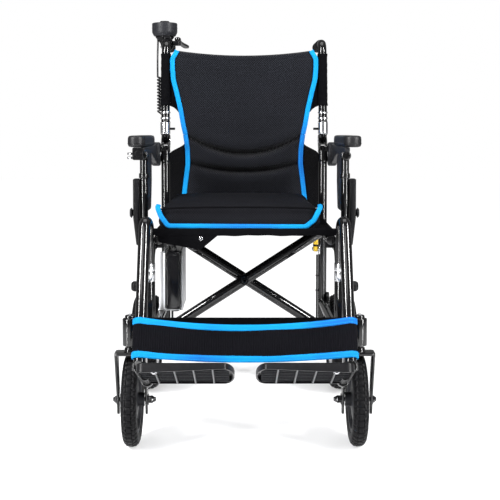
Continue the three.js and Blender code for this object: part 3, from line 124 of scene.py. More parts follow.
def makeCamera():
    data = bpy.data.cameras.new("photoCamera")
    data.lens = studio["lens"]
    data.sensor_width = 36
    data.shift_x, data.shift_y = studio["shift"]
    camera = bpy.data.objects.new("photoCamera", data)
    camera.location = studio["cameraPlace"]
    camera.rotation_euler = (math.pi / 2 + studio["cameraPitch"], 0, studio["cameraYaw"])
    scene.collection.objects.link(camera)
    scene.camera = camera


def makeLights():
    for number, (place, aim, width, height, watts) in enumerate(studio["boxes"]):
        data = bpy.data.lights.new(f"softBox{number}", "AREA")
        data.shape = "RECTANGLE"
        data.size, data.size_y, data.energy = width, height, watts
        lamp = bpy.data.objects.new(f"softBox{number}", data)
        lamp.location = place
        away = np.array(place, float) - np.array(aim, float)
        lamp.rotation_euler = (math.atan2(math.hypot(away[0], away[1]), away[2]), 0,
                               math.atan2(away[0], -away[1]))
        scene.collection.objects.link(lamp)


def makeWorld():
    # the camera sees full white, and every other ray the world's own light
    world = bpy.data.worlds.new("studioWorld")
    world.use_nodes = True
    tree = world.node_tree
    tree.nodes.clear()
    seen = addNode(tree, "LightPath").outputs["Is Camera Ray"]
    strength = addNode(tree, "MapRange", {"To Min": studio["worldLight"], "To Max": 1.0, "Value": seen})
    light = addNode(tree, "Background", {"Strength": strength.outputs[0], "Color": (1, 1, 1, 1)})
    addNode(tree, "OutputWorld", {0: light.outputs[0]})
    scene.world = world


def makeFloor():
    half = studio["floorHalf"]
    mesh = bpy.data.meshes.new("studioFloor")
    mesh.from_pydata([(-half, -half, 0), (half, -half, 0), (half, half, 0), (-half, half, 0)], [],
                     [(0, 1, 2, 3)])
    floor = bpy.data.objects.new("studioFloor", mesh)
    scene.collection.objects.link(floor)
    material, tree, paint = startMaterial("studioFloor")
    near, far = studio["liftReach"]
    low, high = studio["lift"]
    place = addNode(tree, "TexCoord").outputs["Object"]
    reach = addNode(tree, "VectorMath", {0: place}, operation="LENGTH").outputs["Value"]
    rise = addNode(tree, "MapRange", {"From Min": near, "From Max": far, "To Min": low, "To Max": high,
                                      "Value": reach})
    seen = addNode(tree, "LightPath").outputs["Is Camera Ray"]
    feed(tree, paint, {"Base Color": studio["floorColor"], "Roughness": 0.08, "Specular IOR Level": 1.0,
                       "Emission Color": (1, 1, 1, 1),
                       "Emission Strength": mathNode(tree, "MULTIPLY", seen, rise.outputs[0])})
    mesh.materials.append(material)
    floor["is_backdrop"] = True


makeCamera()
makeLights()
makeWorld()
makeFloor()
scene.view_settings.view_transform = "Standard"
print("studio ready")


# Shader node groups. Each puts out values that change over the surface.
def newGroup(name, inputs, outputs):
    group = bpy.data.node_groups.new(name, "ShaderNodeTree")
    for socketName, kind, default in inputs:
        socket = group.interface.new_socket(socketName, in_out="INPUT", socket_type="NodeSocket" + kind)
        socket.default_value = default
    for socketName, kind in outputs:
        group.interface.new_socket(socketName, in_out="OUTPUT", socket_type="NodeSocket" + kind)
    return group, group.nodes.new("NodeGroupInput").outputs, group.nodes.new("NodeGroupOutput")


def makeGrainGroup():
    # colour = base * (1 +- tone * noise), roughness = base +- spread * noise, height = fine noise
    group, given, result = newGroup(
        "surfaceGrain",
        [("Color", "Color", (0.5, 0.5, 0.5, 1)), ("Roughness", "Float", 0.4), ("Scale", "Float", 300.0),
         ("Tone", "Float", 0.1), ("Spread", "Float", 0.08), ("Dust", "Float", 0.0)],
        [("Color", "Color"), ("Roughness", "Float"), ("Height", "Float")])
    place = addNode(group, "TexCoord").outputs["Object"]
    fine = addNode(group, "TexNoise", {"Vector": place, "Scale": given["Scale"]}).outputs["Fac"]
    broad = addNode(group, "TexNoise", {"Vector": place, "Scale": 9.0, "Detail": 4.0}).outputs["Fac"]
    blotch = mathNode(group, "SUBTRACT", broad, 0.5)
    shade = mathNode(group, "MULTIPLY_ADD", blotch, given["Tone"], 1.0)
    scaled = addNode(group, "VectorMath", {0: given["Color"], "Scale": shade}, operation="SCALE").outputs[0]
    normal = addNode(group, "NewGeometry").outputs["Normal"]
    rise = mathNode(group, "MAXIMUM", addNode(group, "SeparateXYZ", {0: normal}).outputs["Z"], 0.0)
    upward = mathNode(group, "MULTIPLY", rise, mathNode(group, "MULTIPLY", given["Dust"], broad))
    rough = mathNode(group, "MULTIPLY_ADD", blotch, given["Spread"], given["Roughness"])
    feed(group, result, {"Color": mixColor(group, upward, scaled, (0.30, 0.29, 0.28, 1)),
                         "Roughness": mathNode(group, "ADD", rough, upward), "Height": fine})
    return group


def makeWearAndHighlightGroup():
    # wear and painted highlight = how convex the surface is, broken up by noise; it marks worn edges, and on
    # the tyre it also paints the tread blocks' tops lighter as a painted highlight
    group, given, result = newGroup("edgeWearAndHighlight", [("Amount", "Float", 0.5), ("Scale", "Float", 120.0)],
                                    [("WearAndHighlight", "Float")])
    place = addNode(group, "TexCoord").outputs["Object"]
    noise = addNode(group, "TexNoise", {"Vector": place, "Scale": given["Scale"]}).outputs["Fac"]
    convex = addNode(group, "NewGeometry").outputs["Pointiness"]
    edge = addNode(group, "MapRange", {"From Min": 0.52, "From Max": 0.62, "Value": convex}).outputs[0]
    broken = mathNode(group, "MULTIPLY", edge, noise)
    feed(group, result, {"WearAndHighlight": mathNode(group, "MULTIPLY", broken, given["Amount"])})
    return group


def makeMeshClothGroup():
    # a diamond grid of small round holes between knitted cords, over the piece's own flat coordinates
    group, given, result = newGroup("spacerMesh", [("Pitch", "Float", 0.0036), ("Hole", "Float", 0.30)],
                                    [("Hole", "Float"), ("Height", "Float")])
    place = addNode(group, "UVMap", uv_map="cloth").outputs[0]
    turn = addNode(group, "Mapping", {"Rotation": (0, 0, math.pi / 4), "Vector": place}).outputs[0]
    density = mathNode(group, "DIVIDE", 1.0, given["Pitch"])
    cells = addNode(group, "TexVoronoi", {"Randomness": 0.12, "Vector": turn, "Scale": density},
                    voronoi_dimensions="2D").outputs["Distance"]
    start, end = (mathNode(group, "MULTIPLY", given["Hole"], share) for share in (0.6, 1.35))
    rim = addNode(group, "MapRange", {"Value": cells, "From Min": start, "From Max": end},
                  interpolation_type="SMOOTHSTEP").outputs[0]
    feed(group, result, {"Hole": mathNode(group, "SUBTRACT", 1.0, rim), "Height": rim})
    return group


def makeWeaveGroup():
    # height = 0.65 of the warp's wave across and 0.35 of the weft's wave along
    group, given, result = newGroup("wovenThreads", [("Warp", "Float", 0.0022), ("Weft", "Float", 0.0009)],
                                    [("Height", "Float")])
    place = addNode(group, "UVMap", uv_map="cloth").outputs[0]
    split = addNode(group, "SeparateXYZ", {0: place}).outputs
    rows = []
    for axis, pitch in (("X", "Warp"), ("Y", "Weft")):
        turns = mathNode(group, "DIVIDE", split[axis], given[pitch])
        wave = mathNode(group, "SINE", mathNode(group, "MULTIPLY", turns, 2 * math.pi))
        rows.append(mathNode(group, "MULTIPLY_ADD", wave, 0.5, 0.5))
    both = mathNode(group, "MULTIPLY_ADD", rows[1], 0.35, mathNode(group, "MULTIPLY", rows[0], 0.65))
    feed(group, result, {"Height": both})
    return group


def makeStitchGroup():
    # dashes of thread along both edges of a ribbon: u runs along it in metres, v across from 0 to 1
    group, given, result = newGroup("stitchRows", [("Length", "Float", 0.0045), ("Inset", "Float", 0.2)],
                                    [("Thread", "Float")])
    place = addNode(group, "UVMap", uv_map="ribbon").outputs[0]
    split = addNode(group, "SeparateXYZ", {0: place}).outputs
    step = mathNode(group, "FRACT", mathNode(group, "DIVIDE", split["X"], given["Length"]))
    fromMiddle = mathNode(group, "ABSOLUTE", mathNode(group, "SUBTRACT", split["Y"], 0.5))
    fromRow = mathNode(group, "ABSOLUTE", mathNode(group, "SUBTRACT", fromMiddle, given["Inset"]))
    dash, row = mathNode(group, "LESS_THAN", step, 0.68), mathNode(group, "LESS_THAN", fromRow, 0.035)
    feed(group, result, {"Thread": mathNode(group, "MULTIPLY", dash, row)})
    return group


grainGroup = makeGrainGroup()
wearAndHighlightGroup = makeWearAndHighlightGroup()
meshClothGroup = makeMeshClothGroup()
weaveGroup = makeWeaveGroup()
stitchGroup = makeStitchGroup()

# Each finish: base colour, roughness, and what else its surface shows
finishes = {
    "paintedTube": {"color": (0.0020, 0.0020, 0.0023), "rough": 0.09, "spec": 0.50, "grain": 900,
                    "bump": 0.00001,
                    "tone": 0.5, "wearAndHighlight": 0.15, "wornAndLitColor": (0.03, 0.03, 0.033), "dust": 0.004},
    "blackPlastic": {"color": (0.0022, 0.0022, 0.0027), "rough": 0.30, "spec": 0.13, "grain": 1500,
                     "bump": 0.0001,
                     "tone": 0.6, "wearAndHighlight": 0.3, "wornAndLitColor": (0.03, 0.03, 0.033), "dust": 0.02},
    "glossPlastic": {"color": (0.0026, 0.0026, 0.0034), "rough": 0.14, "spec": 0.5, "grain": 900,
                     "bump": 0.00001,
                     "tone": 0.5, "wearAndHighlight": 0.15, "wornAndLitColor": (0.03, 0.03, 0.033), "dust": 0.006},
    "greyPlastic": {"color": (0.011, 0.0115, 0.0135), "rough": 0.40, "spec": 0.14, "grain": 1800,
                    "bump": 0.0001, "tone": 0.5, "wearAndHighlight": 0.3, "wornAndLitColor": (0.07, 0.07, 0.075), "dust": 0.02},
    # painted highlight: this pale grey colours the thin strips along the footplate ribs' lower edges
    "paintedHighlightEdge": {"color": (0.10, 0.105, 0.11), "rough": 0.45, "spec": 0.3, "grain": 1800, "bump": 0.0001,
                 "tone": 0.5, "wearAndHighlight": 0.4, "wornAndLitColor": (0.25, 0.25, 0.26), "dust": 0.03},
    "gripRubber": {"color": (0.003, 0.003, 0.0035), "rough": 0.5, "spec": 0.12, "grain": 1300,
                   "bump": 0.00015, "tone": 0.5, "wearAndHighlight": 0.2, "wornAndLitColor": (0.03, 0.03, 0.03), "dust": 0.02},
    # tyreRubber: the large wear amount and pale worn colour paint the tread blocks' tops lighter, a painted
    # highlight on top of some real wear
    "tyreRubber": {"color": (0.0028, 0.0028, 0.0034), "rough": 0.42, "spec": 0.10, "grain": 700,
                   "bump": 0.0002,
                   "tone": 0.9, "wearAndHighlight": 0.8, "wornAndLitColor": (0.022, 0.0215, 0.022), "dust": 0.008},
    "padSkin": {"color": (0.006, 0.006, 0.007), "rough": 0.42, "spec": 0.22, "grain": 650, "bump": 0.0003,
                "tone": 0.6, "wearAndHighlight": 0.25, "wornAndLitColor": (0.04, 0.04, 0.043), "dust": 0.02},
    "steel": {"color": (0.70, 0.71, 0.73), "rough": 0.18, "metal": 1.0, "grain": 800, "bump": 0.00005,
              "tone": 0.3, "wearAndHighlight": 0.3, "wornAndLitColor": (0.88, 0.88, 0.89)},
    "aluminium": {"color": (0.66, 0.67, 0.69), "rough": 0.32, "metal": 1.0, "grain": 500, "bump": 0.00008,
                  "tone": 0.3, "wearAndHighlight": 0.3, "wornAndLitColor": (0.82, 0.82, 0.84)},
    "yellowPlastic": {"color": (0.50, 0.32, 0.015), "rough": 0.4, "spec": 0.35, "grain": 1200, "bump": 0.0001,
                      "tone": 0.3, "wearAndHighlight": 0.4, "wornAndLitColor": (0.85, 0.65, 0.25), "dust": 0.03},
    "cableSkin": {"color": (0.005, 0.005, 0.006), "rough": 0.34, "spec": 0.3, "grain": 1500, "bump": 0.00006,
                  "tone": 0.5, "wearAndHighlight": 0.2, "wornAndLitColor": (0.03, 0.03, 0.03)},
}
cloths = {
    # deep is the colour of the mesh's holes, and of the painted shade in the back's channels and outside its
    # padding
    "spacerMesh": {"color": (0.0092, 0.0100, 0.0132), "deep": (0.0006, 0.0006, 0.001), "rough": 0.88,
                   "pitch": 0.0042, "hole": 0.36, "bump": 0.0012, "sheen": 0.05},
    "seatMesh": {"color": (0.0058, 0.0060, 0.0076), "deep": (0.0004, 0.0004, 0.0007), "rough": 0.7,
                 "pitch": 0.0040, "hole": 0.30, "bump": 0.0006, "sheen": 0.0},
    "canvas": {"color": (0.0020, 0.0020, 0.0026), "rough": 0.9, "warp": 0.0016, "weft": 0.0012,
               "bump": 0.0004, "sheen": 0.0},
    "webbing": {"color": (0.0040, 0.0040, 0.0056), "rough": 0.8, "warp": 0.0046, "weft": 0.0011,
                "bump": 0.0016, "sheen": 0.0},
    "azureBinding": {"color": (0.008, 0.095, 0.36), "bright": (0.004, 0.205, 0.46), "rough": 0.6,
                     "warp": 0.0012,
                     "weft": 0.0012, "bump": 0.00025, "sheen": 0.0, "thread": (0.01, 0.22, 0.50)},
}
materials = {}


def placeGroup(tree, group, **values):
    return addNode(tree, "Group", values, node_tree=group).outputs


def bumpOf(tree, height, distance):
    return addNode(tree, "Bump", {"Distance": distance, "Strength": 1.0, "Height": height}).outputs[0]


def makeHardFinish(name, look):
    material, tree, paint = startMaterial(name)
    grain = placeGroup(tree, grainGroup, Color=(*look["color"], 1), Roughness=look["rough"],
                       Scale=float(look["grain"]), Tone=look["tone"], Dust=look.get("dust", 0.0))
    wearAndHighlight = placeGroup(tree, wearAndHighlightGroup, Amount=look["wearAndHighlight"])["WearAndHighlight"]
    feed(tree, paint, {"Base Color": mixColor(tree, wearAndHighlight, grain["Color"], (*look["wornAndLitColor"], 1)),
                       "Roughness": grain["Roughness"], "Metallic": look.get("metal", 0.0),
                       "Specular IOR Level": look.get("spec", 0.5),
                       "Normal": bumpOf(tree, grain["Height"], look["bump"])})
    return material


def makeCloth(name, look):
    material, tree, paint = startMaterial(name)
    grain = placeGroup(tree, grainGroup, Color=(*look["color"], 1), Roughness=look["rough"], Scale=900.0,
                       Tone=0.5, Spread=0.1, Dust=0.004)
    color = grain["Color"]
    if "bright" in look:
        place = addNode(tree, "TexCoord").outputs["Object"]
        patches = addNode(tree, "TexNoise", {"Scale": 5.0, "Vector": place}).outputs["Fac"]
        level = addNode(tree, "MapRange", {"From Min": 0.36, "From Max": 0.56, "Value": patches}).outputs[0]
        color = mixColor(tree, level, color, (*look["bright"], 1))
    if "pitch" in look:
        cells = placeGroup(tree, meshClothGroup, Pitch=look["pitch"], Hole=look["hole"])
        # painted shade: the back panels' per-point attribute darkens their channels and the cloth outside the
        # padding towards the deep colour
        paintedShade = addNode(tree, "Attribute", attribute_name="paintedShade").outputs["Fac"]
        for share in (cells["Hole"], paintedShade):
            color = mixColor(tree, share, color, (*look["deep"], 1))
        height = cells["Height"]
    else:
        height = placeGroup(tree, weaveGroup, Warp=look["warp"], Weft=look["weft"])["Height"]
        # painted shade: the weave's valleys are darkened towards 0.35 of the colour
        threadShade = mathNode(tree, "MULTIPLY_ADD", height, -0.5, 0.5)
        color = mixColor(tree, threadShade, color, (*(c * 0.35 for c in look["color"]), 1))
    if "thread" in look:
        thread = placeGroup(tree, stitchGroup)["Thread"]
        color = mixColor(tree, thread, color, (*look["thread"], 1))
        height = mathNode(tree, "ADD", height, thread)
    feed(tree, paint, {"Base Color": color, "Roughness": grain["Roughness"], "Specular IOR Level": 0.03,
                       "Sheen Weight": look["sheen"], "Sheen Roughness": 0.5,
                       "Normal": bumpOf(tree, height, look["bump"])})
    return material


for finishName, look in finishes.items():
    materials[finishName] = makeHardFinish(finishName, look)
for clothName, look in cloths.items():
    materials[clothName] = makeCloth(clothName, look)
print("materials ready:", len(materials))


# Shapes. Each is a pair: an array of points and a list of faces.
def unit(vectors):
    vectors = np.asarray(vectors, float)
    return vectors / np.maximum(np.linalg.norm(vectors, axis=-1, keepdims=True), 1e-12)


def gridFaces(rows, columns, closeRows=False, closeColumns=True):
    # the quads between neighbouring points of a grid, wrapped round where it closes on itself
    i, j = np.meshgrid(np.arange(rows if closeRows else rows - 1),
                       np.arange(columns if closeColumns else columns - 1), indexing="ij")
    nextRow, nextColumn = (i + 1) % rows, (j + 1) % columns
    quads = [i * columns + j, i * columns + nextColumn, nextRow * columns + nextColumn, nextRow * columns + j]
    return np.stack(quads, -1).reshape(-1, 4).tolist()


def capFaces(rows, columns):
    return [list(range(columns))[::-1], list(range((rows - 1) * columns, rows * columns))]


def rounded(corners, bend, steps=6, closed=False):
    # each corner becomes an arc of radius bend about corner + bisector * bend / sin(half the angle)
    corners = [np.array(c, float) for c in corners]
    if closed:
        corners = [corners[-1], *corners, corners[0]]
    bends = [bend] * len(corners) if isinstance(bend, (int, float)) else list(bend)
    if closed and len(bends) < len(corners):
        bends = [0, *bends, 0]
    points = [] if closed else [corners[0]]
    share = np.linspace(0, 1, steps + 1)[:, None]
    for before, corner, after, radius in zip(corners, corners[1:], corners[2:], bends[1:]):
        toBefore, toAfter = unit(before - corner), unit(after - corner)
        half = math.acos(max(-1.0, min(1.0, float(toBefore @ toAfter)))) / 2
        if radius <= 0 or half > 1.55:
            points.append(corner)
            continue
        centre = corner + unit(toBefore + toAfter) * radius / math.sin(half)
        first = corner + toBefore * radius / math.tan(half) - centre
        last = corner + toAfter * radius / math.tan(half) - centre
        turn = math.pi - 2 * half
        arc = (np.sin((1 - share) * turn) * first + np.sin(share * turn) * last) / math.sin(turn)
        points.extend(arc + centre)
    if not closed:
        points.append(corners[-1])
    return np.array(points)


def tubeShape(path, radius, sides=36, ref=(0, 0, 1), ease=0.0):
    # point = path(s) + radius(s) * (cos a * side(s) + sin a * up(s)), with the ends rounded by ease
    path = np.array(path, float)
    radii = np.broadcast_to(np.asarray(radius, float), (len(path),)).copy()
    if ease > 0:
        angle = np.linspace(0, math.pi / 2, 5)[:-1, None]
        first, last = unit(path[1] - path[0]), unit(path[-1] - path[-2])
        head = path[0] + first * ease * (1 - np.cos(angle))
        tail = (path[-1] - last * ease * (1 - np.cos(angle)))[::-1]
        headRadii = radii[0] - ease * (1 - np.sin(angle[:, 0]))
        tailRadii = (radii[-1] - ease * (1 - np.sin(angle[:, 0])))[::-1]
        path = np.concatenate([head, [path[0] + first * ease], path[1:-1], [path[-1] - last * ease], tail])
        radii = np.concatenate([headRadii, radii[:1], radii[1:-1], radii[-1:], tailRadii])
    tangent = unit(np.gradient(path, axis=0))
    side = unit(np.cross(tangent, np.broadcast_to(np.asarray(ref, float), path.shape)))
    up = np.cross(side, tangent)
    a = 2 * math.pi * np.arange(sides) / sides
    ring = side[:, None] * np.cos(a)[None, :, None] + up[:, None] * np.sin(a)[None, :, None]
    points = path[:, None] + radii[:, None, None] * ring
    return points.reshape(-1, 3), gridFaces(len(path), sides) + capFaces(len(path), sides)


axes = {"x": np.array([[0, 1, 0], [0, 0, 1], [1, 0, 0]], float),
        "y": np.array([[0, 0, 1], [1, 0, 0], [0, 1, 0]], float),
        "z": np.array([[1, 0, 0], [0, 1, 0], [0, 0, 1]], float)}


def turnedShape(profile, axis, centre, steps=64, closed=False):
    # point = centre + along * axis + radius * (cos a * u + sin a * v), for each (radius, along)
    profile = np.array(profile, float)
    u, v, w = axes[axis]
    a = 2 * math.pi * np.arange(steps) / steps
    ring = np.cos(a)[:, None] * u + np.sin(a)[:, None] * v
    points = np.array(centre, float) + profile[:, :1, None] * ring + profile[:, 1:, None] * w
    faces = gridFaces(len(profile), steps, closeRows=closed)
    return points.reshape(-1, 3), faces if closed else faces + capFaces(len(profile), steps)


def outlineNormals(outline):
    # both edges' normals n1 + n2, over 1 + n1 . n2, so that a step along them moves both edges alike
    before, after = unit(outline - np.roll(outline, 1, 0)), unit(np.roll(outline, -1, 0) - outline)
    n1, n2 = (np.stack([d[:, 1], -d[:, 0]], 1) for d in (before, after))
    return (n1 + n2) / np.maximum(1 + np.sum(n1 * n2, 1, keepdims=True), 0.3)


def plateShape(outline, axis, low, high, ease=0.0, steps=3):
    # an outline carried from low to high, drawn in by ease * (1 - sin t) along its normals at both faces
    outline = np.array(outline, float)
    area = np.sum(outline[:, 0] * np.roll(outline[:, 1], -1) - outline[:, 1] * np.roll(outline[:, 0], -1))
    if area < 0:
        outline = outline[::-1]
    t = np.linspace(0, math.pi / 2, steps + 1)
    inset = np.concatenate([ease * (1 - np.sin(t)), ease * (1 - np.sin(t[::-1]))])
    height = np.concatenate([low + ease * (1 - np.cos(t)), high - ease * (1 - np.cos(t[::-1]))])
    if ease == 0:
        inset, height = np.zeros(2), np.array([low, high])
    flat = outline[None] - outlineNormals(outline)[None] * inset[:, None, None]
    rows, columns = flat.shape[:2]
    level = np.broadcast_to(height[:, None, None], (rows, columns, 1))
    at = "xyz".index(axis)
    points = np.concatenate([flat[..., :at], level, flat[..., at:]], -1)
    return points.reshape(-1, 3), gridFaces(rows, columns) + capFaces(rows, columns)


def blockShape(low, high, ease=0.0008):
    outline = roundRect(low[0], high[0], low[1], high[1], ease * 1.5, 3)
    return plateShape(outline, "z", low[2], high[2], ease)


def roundRect(u0, u1, v0, v1, radius, steps=6):
    return rounded([(u0, v0), (u1, v0), (u1, v1), (u0, v1)], radius, steps, closed=True)


def rodShape(axis, place, ends, radius, sides, ease=0.0):
    # a straight bar along one axis, between two ends on it, through the place given by the other two
    path = [np.insert(np.array(place, float), "xyz".index(axis), end) for end in ends]
    return tubeShape(path, radius, sides, (1, 0, 0) if axis == "z" else (0, 0, 1), ease)


def bandShape(radii, ends, axis, centre, sides, bend, cuts=3):
    # a round band between two radii and two ends along the axis, with its edges rounded
    return turnedShape(roundRect(*radii, *ends, bend, cuts), axis, centre, sides, closed=True)


def sheetShape(front, rear):
    # two grids of points, row for row the two faces of one closed sheet
    loop = np.concatenate([front, rear[:, ::-1]], 1)
    return loop.reshape(-1, 3), gridFaces(*loop.shape[:2]) + capFaces(*loop.shape[:2])


def linkOutline(first, second, radius, steps=12):
    # the outline round two circles
    first, second = np.array(first, float), np.array(second, float)
    heading = math.atan2(second[1] - first[1], second[0] - first[0])
    t = np.linspace(0, math.pi, steps + 1)
    halfRings = []
    for centre, start in ((first, heading + math.pi / 2), (second, heading - math.pi / 2)):
        halfRings.append(centre + radius * np.stack([np.cos(start + t), np.sin(start + t)], 1))
    return np.concatenate(halfRings)


def ribbonShape(path, normals, width, thickness, sides=20, closed=False):
    # a flat oval along a path: point = path + cos a * width / 2 * side + sin a * thickness / 2 * normal
    path, normals = np.array(path, float), unit(normals)
    tangent = unit(np.roll(path, -1, 0) - np.roll(path, 1, 0)) if closed else unit(np.gradient(path, axis=0))
    side = unit(np.cross(tangent, normals))
    up = np.cross(side, tangent)
    a = 2 * math.pi * np.arange(sides) / sides
    across = np.sign(np.cos(a)) * np.abs(np.cos(a)) ** 0.7 * width / 2
    lift = np.sign(np.sin(a)) * np.abs(np.sin(a)) ** 0.8 * thickness / 2
    points = path[:, None] + side[:, None] * across[None, :, None] + up[:, None] * lift[None, :, None]
    faces = gridFaces(len(path), sides, closeRows=closed)
    return points.reshape(-1, 3), faces if closed else faces + capFaces(len(path), sides)


def boltShape(centre, axis, radius, height, way=1):
    # a six-sided head with eased corners on a round washer
    washer = turnedShape([(0, 0), (radius * 1.45, 0), (radius * 1.45, way * height * 0.2),
                          (0, way * height * 0.2)],
                         axis, centre, 32)
    head = turnedShape([(0, 0), (radius, way * height * 0.2), (radius, way * height * 0.8),
                        (radius * 0.8, way * height), (0, way * height)], axis, centre, 6)
    return [washer, head]


def moved(shapes, move):
    return [(move(points), faces) for points, faces in shapes]


def turnedAbout(points, axis, angle):
    u, v, w = axes[axis]
    turned = np.cos(angle) * u + np.sin(angle) * v, np.cos(angle) * v - np.sin(angle) * u
    return points @ (np.outer(u, turned[0]) + np.outer(v, turned[1]) + np.outer(w, w))


def allRound(shape, count, axis, centre):
    # copies of a shape, turned evenly about an axis through the centre
    return [(turnedAbout(shape[0], axis, 2 * math.pi * k / count) + centre, shape[1]) for k in range(count)]


def readPoints(mesh):
    points = np.empty(len(mesh.vertices) * 3)
    mesh.vertices.foreach_get("co", points)
    return points.reshape(-1, 3)


def cornersOf(mesh):
    corners = np.empty(len(mesh.loops), int)
    mesh.loops.foreach_get("vertex_index", corners)
    return corners


def keepCoordinates(mesh, name, flat):
    layer = mesh.uv_layers.new(name=name)
    layer.data.foreach_set("uv", flat.astype(np.float32).ravel())


def boxCoordinates(mesh):
    # each face reads the two coordinates that it faces least, in metres
    normals = np.empty(len(mesh.polygons) * 3)
    mesh.polygons.foreach_get("normal", normals)
    sizes = np.empty(len(mesh.polygons), int)
    mesh.polygons.foreach_get("loop_total", sizes)
    facing = np.repeat(np.abs(normals.reshape(-1, 3)).argmax(1), sizes)
    pairs = np.array([[1, 2], [0, 2], [0, 1]])[facing]
    keepCoordinates(mesh, "cloth", np.take_along_axis(readPoints(mesh)[cornersOf(mesh)], pairs, 1))


def finishMesh(mesh, sharp):
    work = bmesh.new()
    work.from_mesh(mesh)
    bmesh.ops.remove_doubles(work, verts=work.verts, dist=1e-6)
    bmesh.ops.dissolve_degenerate(work, edges=work.edges, dist=1e-7)
    bmesh.ops.recalc_face_normals(work, faces=work.faces)
    work.to_mesh(mesh)
    work.free()
    mesh.shade_smooth()
    mesh.set_sharp_from_angle(angle=math.radians(sharp))


def makePiece(name, shapes, finish, body, replaces=(), mirror=1, sharp=38):
    starts = np.cumsum([0] + [len(points) for points, _ in shapes])
    points = np.concatenate([points for points, _ in shapes]) * (mirror, 1, 1)
    faces = [[n + int(start) for n in face] for (_, found), start in zip(shapes, starts) for face in found]
    mesh = bpy.data.meshes.new(name)
    mesh.from_pydata(points.tolist(), [], faces)
    finishMesh(mesh, sharp)
    mesh.materials.append(materials[finish])
    boxCoordinates(mesh)
    made = bpy.data.objects.new(name, mesh)
    scene.collection.objects.link(made)
    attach(made, body)
    if replaces:
        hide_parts(*replaces)
    return made


def boxOf(node):
    low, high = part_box(node)
    return np.array(low), np.array(high)


def centreOf(node):
    low, high = boxOf(node)
    return (low + high) / 2


# The chair's main sizes
chair = {
    "frameX": 0.203, "tube": 0.011, "postY": -0.145, "caneY": 0.332, "lowRailZ": 0.234, "highRailZ": 0.425,
    "caneFootZ": 0.194, "caneTopZ": 0.641, "bend": 0.040,
}
sides = {"left": 1, "right": -1}
clearance = 0.0003  # between pieces that would touch


# The curly cord, which comes first: its route is the solid's
curlyCord = {
    "radius": 0.0023, "curlRadius": 0.0056, "curls": 11, "steps": 24, "axis": (0.221, 0.388),
    "topZ": 0.820, "footZ": 0.730, "exit": (0.226, 0.396, 0.9257), "plugTop": (0.203, 0.3498, 0.7063),
}


def makeCurlyCord():
    # down from the control, round the axis by angle t at height topZ - t * fall, and down into the plug
    c = curlyCord
    x, y = c["axis"]
    straight = 2 * c["radius"]
    t = np.arange(c["curls"] * c["steps"] + 1) / c["steps"]
    turn = 2 * math.pi * t
    helix = np.stack([x + c["curlRadius"] * np.cos(turn), y + c["curlRadius"] * np.sin(turn),
                      c["topZ"] + (c["footZ"] - c["topZ"]) * t / c["curls"]], 1)
    exitPoint, plug = np.array(c["exit"]), np.array(c["plugTop"])
    down = np.array((0, 0, -straight))
    lead = [exitPoint, exitPoint + down, exitPoint + 4 * down,
            (x + c["curlRadius"], y, (exitPoint[2] + c["topZ"]) / 2)]
    tail = [(x, y, c["footZ"] - straight), plug - 2 * down, plug - down, plug]
    knots = np.concatenate([lead, helix, tail])
    path = easedPath(knots, 2)
    path[:, 0] *= -1
    outward = path - (-x, y, 0)
    outward[:, 2] = 0
    cord = makePiece("curly_cord", [tubeShape(path, c["radius"], 12, ref=unit(outward) + (0, 0, 1e-4))],
                     "cableSkin", "right_back", ["right_curly_cord"], sharp=60)
    plugPiece = makePlug()


def easedPath(knots, cuts):
    # each run is cut into halves and its corners cut by a quarter, cuts times, with the ends kept
    points = np.array(knots, float)
    for _ in range(cuts):
        near = points[:-1] * 0.75 + points[1:] * 0.25
        far = points[:-1] * 0.25 + points[1:] * 0.75
        between = np.stack([near, far], 1).reshape(-1, 3)
        points = np.concatenate([points[:1], between, points[-1:]])
    return points


def makePlug():
    low, high = boxOf("right_cord_plug")
    body = plateShape(roundRect(low[0], high[0], low[1], high[1], 0.003), "z", low[2], high[2], 0.0012)
    x, y = (low[0] + high[0]) / 2, (low[1] + high[1]) / 2
    ribs = [plateShape(roundRect(low[0] - 0.0004, high[0] + 0.0004, low[1] - 0.0002, high[1] + 0.0004,
                                 0.0032),
                       "z", z, z + 0.0016, 0.0005) for z in np.linspace(low[2] + 0.003, high[2] - 0.008, 4)]
    neck = turnedShape([(0.0048, high[2] - 0.001), (0.0048, high[2] + 0.0001), (0.0034, high[2] + 0.0002)],
                       "z", (x, y, 0), 24)
    return makePiece("cord_plug", [body, *ribs, neck], "blackPlastic", "right_back", ["right_cord_plug"])


makeCurlyCord()
print("curly cord ready")

# Side frames
sideFrame = {
    "receiver": {"radius": 0.014, "y": -0.172, "footZ": 0.240, "topZ": 0.362},
    "housing": {"x": 0.242, "y": -0.1775, "radius": 0.016, "footZ": 0.226, "topZ": 0.284, "cap": 0.011,
                "capRise": 0.007},
    "axle": {"y": 0.3625, "z": 0.125, "radius": 0.008, "end": 0.3005},
    "plate": {"inner": 0.212, "outer": 0.221, "half": 0.026},
    "saddles": {"ys": (-0.060, 0.220), "half": 0.012, "inner": 0.177, "footZ": 0.421, "topZ": 0.4357},
    "pivot": {"x": 0.184, "z": 0.210, "lug": 0.010, "ys": {"left": 0.104, "right": 0.076}},
    "hinge": {"y": 0.352, "z": 0.654, "radius": 0.015, "pinZ": 0.622},
    "arm": {"z": 0.619, "pin": 0.006, "start": 0.2386},
}


